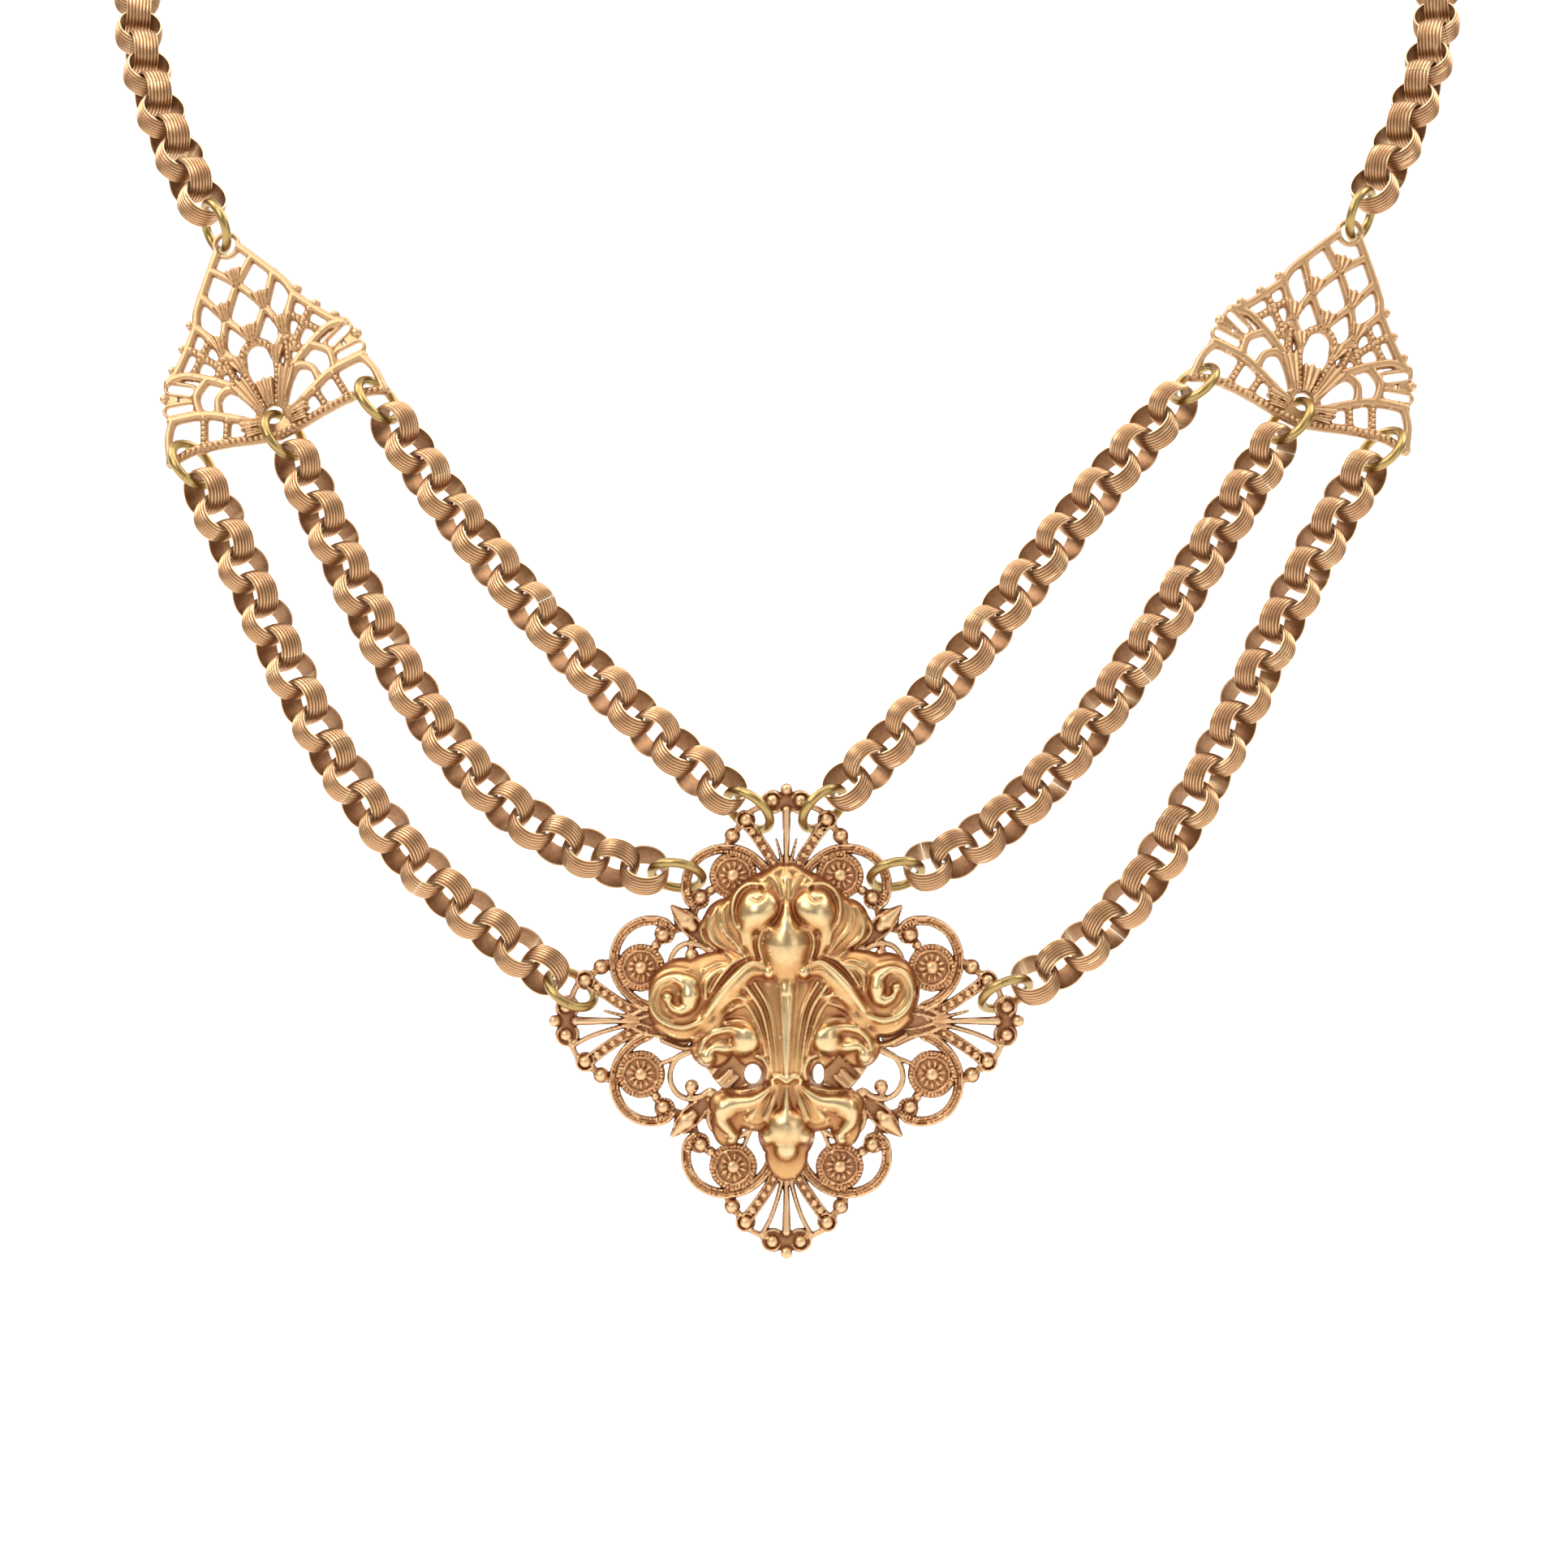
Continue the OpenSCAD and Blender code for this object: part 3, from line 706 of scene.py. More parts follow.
# Lines and beads that stand on it
PLATE_LINES = (
    Rib(0.42, 0.3, beside(SCROLL, 0.42)), Rib(0.22, 0.16, beside(SCROLL, 0.06)),
    Rib(0.34, 0.24, beside(SCROLL, -0.36), 0.36), Rib(0.34, 0.3, beside(STRIP, 0.56), w1=0.3, h1=0.26),
    Rib(0.34, 0.3, beside(STRIP, -0.56), w1=0.3, h1=0.26),
    Rib(0.36, 0.3, ((0.75, 24.9), (1.9, 24.75), (2.75, 25.4), (2.85, 26.4), (2.1, 27.05), (1.2, 26.95),
        (0.75, 26.5)), w1=0.3, h1=0.2),
    Rib(0.34, 0.3, ((4.2, 22.9), (5.2, 22.8), (5.85, 23.6), (5.6, 24.5), (4.7, 24.8), (3.9, 24.4))),
    Rib(0.4, 0.3, ((11.7, 15.6), (11.3, 14.1), (10.3, 13.45), (9.35, 13.9), (9.1, 14.8)), 0.42),
    Rib(0.4, 0.25, ((13.6, 13.6), (12.6, 12.6), (11.8, 11.8)), w1=1.95, h1=0.8),
    Rib(1.95, 0.8, ((11.8, 11.8), (11.1, 11.1)), w1=1.2, h1=0.5),
    Rib(0.34, 0.3, ((9.5, 10.6), (10.4, 11.9), (11.6, 12.9), (13.4, 13.9))),
    Rib(0.5, 0.3, ((0.75, 18.2), (1.5, 16.6), (2.0, 14.2), (3.4, 12)), w1=0.3, h1=0.2),
    Rib(0.4, 0.3, ((0.3, 17.4), (0.8, 15.6), (1.2, 12)), w1=0.3, h1=0.2),
    Rib(0.5, 0.3, ((7.0, 8.2), (8.2, 10), (8.0, 11.9), (6.6, 12.4), (5.5, 11.6), (5.4, 9.8)), w1=0.4),
    Rib(0.45, 0.3, ((3.2, 12.6), (4.4, 11.4), (4.9, 9.4), (4.6, 7.8)), w1=0.3, h1=0.2),
    Rib(0.8, 0.3, ((4.6, 7.6), (6.6, 9.6)), w1=1.4, h1=0.5),
    Rib(0.8, 0.3, ((5.9, 6.6), (8.4, 8.8)), w1=1.4, h1=0.5),
    Rib(0.5, 0.3, ((9.4, 9.4), (7.6, 7.6), (6.2, 6.2)), 0.5),
)
PLATE_BEADS = (
    Spot(0.7, 1.65, 26.05, 0.68), Spot(0.74, 4.8, 23.8, 0.72), Spot(0.68, 6.4, 21.95, 0.62),
    Spot(0.74, 10.15, 14.6, 0.68), Spot(0.45, 8.95, 15.5, 0.42), Spot(0.66, 7.6, 11.2, 0.55),
    Spot(0.3, 1.05, 17.7, 0.24), Spot(0.33, 1.5, 18.65, 0.28), Spot(0.36, 2.05, 19.6, 0.32),
    Spot(0.39, 2.65, 20.55, 0.35), Spot(0.42, 3.3, 21.5, 0.38), Spot(0.44, 4.0, 22.4, 0.4),
)
PLATE_STRIP = Rib(0.6, 0.28, ((2.9, 25.2), (1.95, 23.5), (1.25, 21.6), (0.7, 19.6), (0.4, 17.8)))
PLATE_SPUR = Rib(0.35, 0.2, ((1.2, 21.5), (0.7, 19.6), (0.4, 17.8)), w1=0.55, h1=0.28)


def gap_field(u: Array, v: Array) -> Array:
    """Gives how far outside the gaps beside the hooks each place is.

    The gaps are ovals that are seen through, and the left ones are wider.

    Args:
        u: Places across.
        v: Places up.

    Returns:
        The distances, about in millimetres.
    """
    place, narrow = (np.where(u < 0, left, right) for left, right in zip(GAP_LEFT, GAP_RIGHT))
    return np.hypot((np.abs(u) - place) * narrow, np.abs(v) - GAP_V) - GAP_R


def rosette_height(u: Array, v: Array) -> Array:
    """Gives the height of a rosette: roped border, ring, petals and a dome.

    Args:
        u: Places across.
        v: Places up.

    Returns:
        The heights in millimetres.
    """
    r = np.hypot(u - ROSETTE[0], v - ROSETTE[1])
    a = np.arctan2(v - ROSETTE[1], u - ROSETTE[0])

    def hoop(middle: float, half: float, height: float) -> Array:
        """Gives a round ridge by its radius, half width and height."""
        return height * np.sqrt(np.clip(1 - ((r - middle) / half) ** 2, 0, 1))

    rope = hoop(2.5, 0.27, 0.34) * (0.62 + 0.38 * np.cos(ROPE_TURNS * a + 2.2 * r))
    swell = 0.3 * np.clip(1 - (r / 1.95) ** 2, 0, 1)
    petals = np.clip(1 - ((r - 1.2) / 0.48) ** 2 - (np.sin(PETALS / 2 * a) / 0.85) ** 2, 0, 1)
    middle = np.maximum(0.34 * np.sqrt(petals), hoop(0, 0.74, 0.42))
    return np.maximum.reduce([rope, hoop(2.05, 0.16, 0.2), swell + middle])


def eightfold(u: Array, v: Array) -> tuple:
    """Folds places of the plate into one eighth, with its two neighbours' mirror images."""
    a, b = np.minimum(np.abs(u), np.abs(v)), np.maximum(np.abs(u), np.abs(v))
    return (a, b), (-a, b), (b, a)


def world_plate(p: Array) -> Array:
    """Sets points of the plate's plane u, v, height in the row's frame, in metres."""
    return np.stack([p[:, 0], PLATE_Y - p[:, 2], PLATE_Z + p[:, 1]], 1) * MM


@dataclass
class Plate:
    """The pierced diamond plate.

    Attributes:
        step: Spacing of its grid in millimetres.
        half: Half size of the grid.
        relief: Its metal and relief in one eighth.
    """

    step: float = 0.14
    half: float = 28.6
    relief: Relief = field(
        default_factory=lambda: Relief(PLATE_OUTLINE, PLATE_SPOTS, PLATE_LINES, PLATE_BEADS))

    def parts(self, u: Array, v: Array) -> list:
        """Folds places into the plate's sectors.

        The strips beside the spears are whole below, and broken where a ring passes.

        Args:
            u: Places across.
            v: Places up.

        Returns:
            For each sector its relief and the places in it.
        """
        down, up = Relief([PLATE_STRIP], []), Relief([PLATE_SPUR], [])
        across = np.abs(u)
        strips = [(down, across, -v), (down, -v, across), (up, across, v), (up, v, across)]
        return [(self.relief, a, b) for a, b in eightfold(u, v)] + strips

    def metal(self, u: Array, v: Array) -> Array:
        """Gives how far inside the metal each place is."""
        s = [part.metal(a, b) for part, a, b in self.parts(u, v)]
        return np.minimum(np.maximum.reduce(s), gap_field(u, v))

    def height(self, u: Array, v: Array) -> Array:
        """Gives the relief above the face."""
        h = [part.height(a, b) for part, a, b in self.parts(u, v)]
        return np.maximum.reduce(h + [rosette_height(a, b) for a, b in eightfold(u, v)])

    def build(self, material: Material) -> Object:
        """Builds the plate.

        Args:
            material: Its material.

        Returns:
            The piece.
        """
        g = np.arange(-self.half, self.half + self.step, self.step)
        s = self.metal(*np.meshgrid(g, g, indexing="ij"))

        def front(u: Array, v: Array, inside: Array) -> Array:
            """Gives the height of the front face."""
            rim = PLATE_RIM * rounded(inside, PLATE_RIM_REACH)
            return PLATE_FACE + rim + self.height(u, v) * np.clip(inside / 0.12, 0.25, 1)

        points, faces, count = cut_sheet(g, g, s, front, PLATE_BACK)
        # the hollows give patina and painted shade, the crowns wear and a painted highlight
        shade = hollows(points[:count], self.step, 0.5)
        return add_mesh("filigree_plate_relief", world_plate(points), faces, material, shade)


# The boss

# Full height, millimetres in a boss unit, and heights of the face and of its rounded rim
BOSS_TOP, BOSS_UNIT, BOSS_FACE, BOSS_RIM = 4.64, 0.02632, 0.12, 0.23
# How the wings lean: share of the width, and millimetres down
WING_WIDER, WING_LOWER = 0.04, 0.6
# The domes that the boss swells up from: centre u and v, half sizes across and up, height
BOSS_DOMES = (
    (0, 11.4, 7.9, 6.8, 2.5), (0, 15.4, 3.7, 3.3, 1.4), (7.0, 11.4, 2.9, 3.2, 1.0),
    (12.0, 3.0, 4.1, 4.9, 2.2), (6.5, 4.6, 7.6, 4.0, 2.2), (0, 0, 7.6, 7.2, 2.2), (0, -5, 3.2, 4.6, 2.0),
    (0, -10.2, 8.3, 3.2, 1.6), (0, -13.2, 3.4, 3.6, 1.7), (0, -15.4, 2.6, 3.5, 1.0),
    (8.7, -3.0, 2.6, 2.6, 1.2), (7.8, -0.4, 2.0, 2.2, 1.3), (7.0, -12.0, 1.9, 2.9, 0.9),
)
# Ridges of one half: widths and heights in millimetres at both ends, then points in boss units
BOSS_RIDGES = (
    (1.0, 1.4, 0.5, 0.4, ((108, 632), (78, 664), (30, 690))), (0.5, 1.3, 0.4, 0.5, ((0, 700), (0, 640))),
    (1.3, 0.7, 0.5, 0.35, ((0, 640), (0, 590), (0, 530))),
    (0.9, 0.6, 0.45, 0.3, ((62, 655), (34, 612), (24, 560))),
    (0.8, 0.5, 0.4, 0.3, ((92, 640), (80, 622), (74, 610))),
    (0.75, 0.7, 0.7, 0.9, ((95, 607), (160, 622), (214, 592), (242, 528), (236, 455), (204, 400),
        (192, 345))),
    (0.5, 0.5, 0.35, 0.4, ((236, 590), (264, 528), (258, 455), (224, 395), (206, 335))),
    (0.75, 0.7, 0.5, 0.8, ((252, 556), (288, 488), (276, 408), (226, 352), (182, 292))),
    (0.5, 0.5, 0.35, 0.35, ((286, 524), (312, 462), (300, 392), (250, 338), (208, 294))),
    (0.85, 0.75, 0.45, 0.65, ((310, 512), (346, 440), (332, 372), (278, 328), (236, 286))),
    (0.8, 0.7, 0.35, 0.45, ((358, 470), (382, 415), (362, 366), (312, 326))),
    (1.0, 3.0, 0.9, 1.6, ((0, 520), (0, 470), (0, 420))),
    (3.0, 6.2, 1.6, 2.2, ((0, 430), (0, 396), (0, 345))),
    (6.2, 5.6, 2.2, 2.2, ((0, 345), (0, 315), (0, 285))),
    (5.6, 3.0, 2.2, 1.6, ((0, 285), (0, 240), (0, 196))),
    (3.0, 1.0, 1.5, 0.7, ((142, 486), (176, 420), (170, 356), (150, 300))),
    (0.65, 0.7, 0.9, 1.3, ((72, 425), (108, 408), (124, 350), (108, 282), (86, 240))),
    (0.55, 0.55, 0.5, 0.8, ((104, 392), (144, 378), (154, 330), (138, 288))),
    (0.9, 1.4, 1.45, 1.3, ((96, 250), (150, 268), (214, 224), (286, 142), (345, 42))),
    (1.8, 3.2, 1.0, 0.95, ((104, 232), (158, 234), (216, 186), (286, 104), (350, 0))),
    (2.4, 2.0, 0.2, 0.4, ((296, 450), (262, 370), (214, 300))),
    (5.2, 3.2, 0.6, 0.7, ((0, 150), (0, 0), (0, -240))),
    (1.6, 1.0, 0.95, 0.6, ((190, -76), (262, -74), (330, -88))),
    (2.4, 1.6, 0.4, 0.3, ((0, -300), (70, -360), (130, -420))),
    (0.55, 0.55, 0.95, 0.85, ((118, 224), (166, 230), (224, 176), (284, 92), (330, 14))),
    (0.5, 0.5, 0.8, 0.7, ((168, 296), (232, 272), (290, 212), (330, 150))),
    (0.8, 0.6, 0.6, 0.5, ((262, 250), (318, 232), (352, 186), (352, 130))),
    (0.45, 0.45, 0.45, 0.4, ((250, 268), (306, 268), (360, 244))),
    (0.45, 1.2, 0.6, 0.9, ((165, 104), (222, 114), (280, 78), (334, 4))),
    (0.4, 0.6, 0.4, 0.5, ((178, 82), (236, 64), (300, 14), (372, -40))),
    (1.1, 1.2, 0.65, 0.6, ((330, -6), (400, -58), (490, -60), (570, -8))),
    (0.8, 0.8, 0.35, 0.35, ((364, -90), (450, -114), (546, -76))),
    (1.7, 0.9, 1.2, 0.8, ((190, -40), (262, -30), (326, -44), (370, -84), (382, -130))),
    (2.1, 1.2, 1.3, 0.9, ((196, -118), (262, -116), (318, -112), (352, -130))),
    (0.55, 0.55, 0.55, 0.6, ((150, -26), (204, 8), (270, 4))),
    (2.5, 0.95, 1.6, 1.4, ((0, 150), (-2, 40), (0, -240))),
    (0.65, 0.55, 0.8, 0.95, ((178, 156), (114, 56), (84, -60), (67, -205), (60, -246))),
    (0.5, 0.5, 0.65, 0.85, ((142, 176), (84, 72), (56, -60), (43, -236))),
    (0.55, 0.5, 0.5, 0.6, ((208, 122), (152, 40), (112, -60), (92, -150))),
    (0.65, 0.75, 0.8, 0.85, ((136, -152), (98, -172), (84, -228), (114, -284), (190, -306), (290, -312))),
    (0.9, 0.8, 1.3, 1.2, ((0, -270), (34, -246), (66, -258), (62, -278))),
    (1.2, 2.8, 1.0, 1.35, ((80, -302), (150, -352), (230, -362), (288, -374))),
    (2.5, 0.9, 1.3, 0.9, ((296, -392), (286, -450), (252, -494), (230, -512))),
    (0.45, 0.45, 0.45, 0.55, ((92, -332), (162, -388), (228, -404))),
    (0.7, 1.3, 0.75, 0.8, ((44, -282), (58, -350), (92, -432))),
    (0.6, 1.2, 0.75, 0.65, ((62, -288), (118, -362), (158, -424))),
    (0.6, 1.9, 0.9, 1.3, ((0, -296), (0, -380), (0, -450))),
    (0.5, 0.5, 0.35, 0.35, ((96, -440), (142, -452), (190, -434))),
)
# The comma in the middle of a wing: from its curl ball through its broad body to its thin end
VOLUTE_COMMA = (
    (0.7, 1.5, 0.95, 1.05, ((512, 120), (490, 84), (455, 72))),
    (1.5, 2.4, 1.05, 1.25, ((455, 72), (424, 92), (416, 136))),
    (2.4, 1.5, 1.25, 0.9, ((416, 136), (424, 180), (452, 206))),
    (1.5, 0.5, 0.9, 0.5, ((452, 206), (496, 222), (540, 200))),
)
# Round swellings of one half: radius, height, place in boss units
BOSS_BULBS = (
    (2.35, 1.75, 122, 512), (2.2, 1.7, 142, 486), (0.55, 0.95, 72, 412), (0.95, 1.8, 76, 224),
    (1.85, 1.6, 186, -82), (1.05, 1.3, 354, -160), (1.95, 1.3, 284, -374), (0.75, 0.95, 242, -534),
    (2.5, 1.8, 0, -480), (1.05, 1.2, 84, -514), (1.4, 1.6, 0, -574), (0.7, 1.15, 512, 132),
)
# Grooves of one half: width, depth and points
BOSS_GROOVES = (
    (0.44, 0.8, ((116, 604), (103, 584), (106, 558), (130, 542), (158, 552))),
    (0.45, 0.5, ((244, -72), (296, -72), (344, -86))), (0.4, 0.4, ((10, 120), (6, -60), (8, -230))),
)
# Centre of the spiral of a wing, then its angles and radii
VOLUTE = (470, 122)
VOLUTE_TURNS = ((360, 92), (450, 96), (540, 108), (630, 122), (690, 142))


def volute(offset: float, first: int, last: int) -> tuple:
    """Gives points of the spiral of a wing.

    Args:
        offset: How far outside the main ridge it runs, in boss units.
        first: Angle that it starts at, in degrees.
        last: Angle that it ends at.

    Returns:
        Points in boss units.
    """
    angles = np.arange(first, last + 1, 30)
    radii = np.interp(angles, *zip(*VOLUTE_TURNS)) + offset
    return tuple((VOLUTE[0] - r * math.cos(math.radians(a)), VOLUTE[1] + r * math.sin(math.radians(a)))
                 for a, r in zip(angles, radii))


def soft_max(fields: Sequence[Array], power: int) -> Array:
    """Joins heights without a crease."""
    return sum(np.maximum(f, 0) ** power for f in fields) ** (1 / power)


def boss_curve(points: Sequence) -> Array:
    """Runs a curve through points in boss units and gives it in millimetres."""
    return through(np.array(points) * BOSS_UNIT, 4)


@dataclass
class Boss:
    """The domed scroll boss.

    Attributes:
        step: Spacing of its grid in millimetres.
        half: Half sizes of the grid across and up.
    """

    step: float = 0.115
    half: tuple = (16.4, 19.6)

    def __post_init__(self) -> None:
        """Runs the curves of the ridges and grooves."""
        spirals = ((0.8, 1.1, 0.7, 0.9, volute(10, 405, 690)), (0.5, 0.5, 0.4, 0.5, volute(-16, 375, 640)),
                   (0.45, 0.45, 0.35, 0.45, volute(38, 430, 700)))
        ridges = BOSS_RIDGES + spirals + VOLUTE_COMMA
        self.ridges = [(*sizes, boss_curve(points)) for *sizes, points in ridges]
        self.grooves = [(*sizes, boss_curve(points)) for *sizes, points in BOSS_GROOVES]

    @staticmethod
    def lean(u: Array, v: Array) -> tuple:
        """Takes out the hand-made lean: the left wing hangs lower and wider than the right one."""
        wing = np.sign(u) * np.clip(np.abs(u) / 12, 0, 1) ** 2 * np.exp(-((v - 3) / 6) ** 2)
        return np.abs(u) * (1 + WING_WIDER * wing), v - WING_LOWER * wing

    def fields(self, u: Array, v: Array) -> tuple:
        """Gives the boss's outline and relief.

        Args:
            u: Places across.
            v: Places up.

        Returns:
            How far inside the metal each place is, and its height.
        """
        a, b = self.lean(u, v)
        inside = np.full(u.shape, OUTSIDE)
        domes, raised = [], []
        for cu, cv, ru, rv, top in BOSS_DOMES:
            q = np.hypot((a - cu) / ru, (b - cv) / rv)
            inside = np.maximum(inside, (1 - q) * min(ru, rv))
            domes.append(top * np.clip(1 - q * q, 0, 1) ** 0.6)
        for w0, w1, h0, h1, curve in self.ridges:
            d, share, _ = along(a, b, curve)
            w = blend(w0, w1, share) / 2
            inside = np.maximum(inside, w * 0.9 - d)
            raised.append(blend(h0, h1, share) * np.clip(1 - (d / w) ** 2, 0, 1) ** 0.75)
        for r, top, cu, cv in BOSS_BULBS:
            d = np.hypot(a - cu * BOSS_UNIT, b - cv * BOSS_UNIT)
            inside = np.maximum(inside, r * 0.9 - d)
            raised.append(top * np.clip(1 - (d / r) ** 2, 0, 1) ** 0.55)
        relief = soft_max(raised, 5)
        for w, depth, curve in self.grooves:
            d, share, _ = along(a, b, curve)
            relief = relief - depth * np.clip(1 - (2 * d / w) ** 2, 0, 1) * (1 - 0.6 * share)
        inside = np.where(v < 0, np.minimum(inside, gap_field(u, v)), inside)
        return inside, soft_max(domes, 4) + relief

    def build(self, material: Material) -> Object:
        """Builds the boss.

        Args:
            material: Its material.

        Returns:
            The piece.
        """
        us, vs = (np.arange(-half, half + self.step, self.step) for half in self.half)
        s, h = self.fields(*np.meshgrid(us, vs, indexing="ij"))
        h = blur(np.maximum(h, 0), np.ones(h.shape), 1)
        scale = BOSS_TOP / (BOSS_FACE + BOSS_RIM + h[s > 0].max())

        def front(u: Array, v: Array, inside: Array) -> Array:
            """Gives the height of the front face."""
            edge = rounded(inside, 0.5)
            return scale * (BOSS_FACE + BOSS_RIM * edge + sampled(h, us, vs, u, v) * edge)

        points, faces, count = cut_sheet(us, vs, s, front, 0.0)
        # the hollows give patina and painted shade, the crowns wear and a painted highlight
        shade = 0.1 + 0.84 * hollows(points[:count], self.step, 0.75)
        points[:, 2] += BOSS_SEAT
        return add_mesh("scroll_boss_relief", world_plate(points), faces, material, shade, 60)


# The fans

# Heights of the face and of its rounded rim, and how far ribs melt together
FAN_FACE, FAN_RIM, FAN_MELT = 0.1, 0.25, 0.16
# Its lean in degrees round Z, X and Y, and how far its grid reaches
FAN_TURN, FAN_ACROSS, FAN_UP = (11, -13, 19), 14.8, (-2.2, 26.9)
# Slots beside the rim, half their width, and the holes as radius and place up
FAN_SLOTS = (((9.2, 16.4), (11.3, 15.3)), ((9.8, 18.4), (12.2, 18)))
FAN_OPEN = 0.5
FAN_HOLES = ((1.2, 0), (1.15, 22.8))
FAN_OUTLINE = (
    Rib(1.06, 0.32, ((1.2, 0.4), (2.7, 2.5), (4.4, 5), (5.7, 7), (6.4, 8.9), (7.9, 11), (9.7, 13.2),
        (11.4, 14.7))),
    Rib(1.02, 0.32, ((-2.7, 2.5), (0, 5.3), (2.5, 9.2), (4, 13.1))),
    Rib(1.02, 0.32, ((4, 13.1), (3.7, 15.6), (3, 18.6)), 0.62),
    Rib(1.02, 0.32, ((4.6, 5.4), (2.5, 9.2), (0, 12.9))),
    Rib(1.06, 0.32, ((6.3, 8.9), (5.1, 10.9), (3.9, 13.2), (2.1, 15.4))),
    Rib(0.96, 0.36, ((7.9, 11.2), (6.6, 12.7), (5.2, 14.4), (4.6, 15.4)), 0.66),
    Rib(0.96, 0.36, ((5, 10.9), (8.3, 14.6)), 0.66), Rib(0.96, 0.36, ((3.8, 13.1), (5.6, 16.3)), 0.66),
    Rib(1.02, 0.36, ((0, 13), (1.5, 13.9), (2.1, 16.3), (1.5, 19.2), (0.6, 22)), 0.66),
    Rib(1.02, 0.32, ((11.4, 14.4), (9.2, 14.4), (6.4, 15.9), (4.6, 17.2), (2.7, 18.9), (0.9, 21.9)), w1=1.1),
    Rib(0.96, 0.32, ((8.7, 19.6), (8.6, 17.4), (6.9, 15.9))),
    Rib(0.96, 0.32, ((6.5, 20.6), (6, 18.6), (4.4, 17.9), (2.9, 19.3), (1.4, 22)), w1=1.1),
    Rib(1.02, 0.32, ((12.4, 19.3), (8.4, 19.9), (5.4, 21.3), (1.9, 23.4)), w1=1.1),
    Rib(0.96, 0.32, ((12.2, 19.3), (13.3, 21.4), (13.8, 24.4))),
    Rib(1.02, 0.36, ((13.8, 24.4), (10.8, 23.8), (6.8, 24.2), (3, 25), (0, 25.5)), 0.72, w1=1.25),
    Rib(0.96, 0.36, ((8.3, 20), (9.3, 23.8)), 0.66), Rib(0.96, 0.36, ((5.6, 21.3), (6.5, 24.1)), 0.66),
    *(Rib(1.9, 0.1, slot) for slot in FAN_SLOTS),
)
# Scalloped shells: widths at both ends, number of flutes, then the two ends
FAN_SHELLS = (
    (0.9, 2.5, 3, (0, 5.4), (0, 3.3)), (0.9, 2.5, 3, (2.45, 9.2), (2.5, 7.1)),
    (0.9, 2.5, 3, (0, 12.9), (0, 10.8)), (0.9, 2.5, 3, (3.95, 13.1), (4.2, 11.0)),
    (0.9, 2.1, 3, (2.1, 16.4), (2.8, 14.5)), (1.3, 2.7, 3, (0, 21.4), (0, 18.1)),
    (0.9, 2.5, 3, (1.2, 22), (3.3, 17.3)), (1.0, 2.1, 3, (1.7, 23.3), (4.2, 22.7)),
    (0.8, 1.4, 3, (2.0, 24.3), (3.9, 24.1)),
)
FAN_SPOTS = (
    Spot(0.55, 6.95, 8.4, 0.4), Spot(0.55, 8.65, 11.0, 0.4), Spot(0.55, 10.55, 13.2, 0.4),
    Spot(0.6, 12.45, 16.3, 0.4), Spot(0.5, 13.7, 24.2, 0.35), Spot(0.9, 11.6, 16.8), Spot(0.6, 8.7, 17.4),
    Spot(0.6, 9.9, 17.35), Spot(0.5, 9.2, 19.2), Spot(1.75, 0, 0), Spot(2.5, 0, 23.3), Spot(1.2, 0, 20.4),
    Spot(0.6, 0, 25.5), Spot(0.5, 0, 13),
)


def chest_y(x: float, z: float) -> float:
    """Gives how far forward the chest lies at a place of the front view, in millimetres."""
    rise = max(0.0, z - PLATE_Z - CHEST_RISE)
    return PLATE_Y + x * x / (2 * CHEST_R) + rise * rise / (4 * (rise + CHEST_EASE))


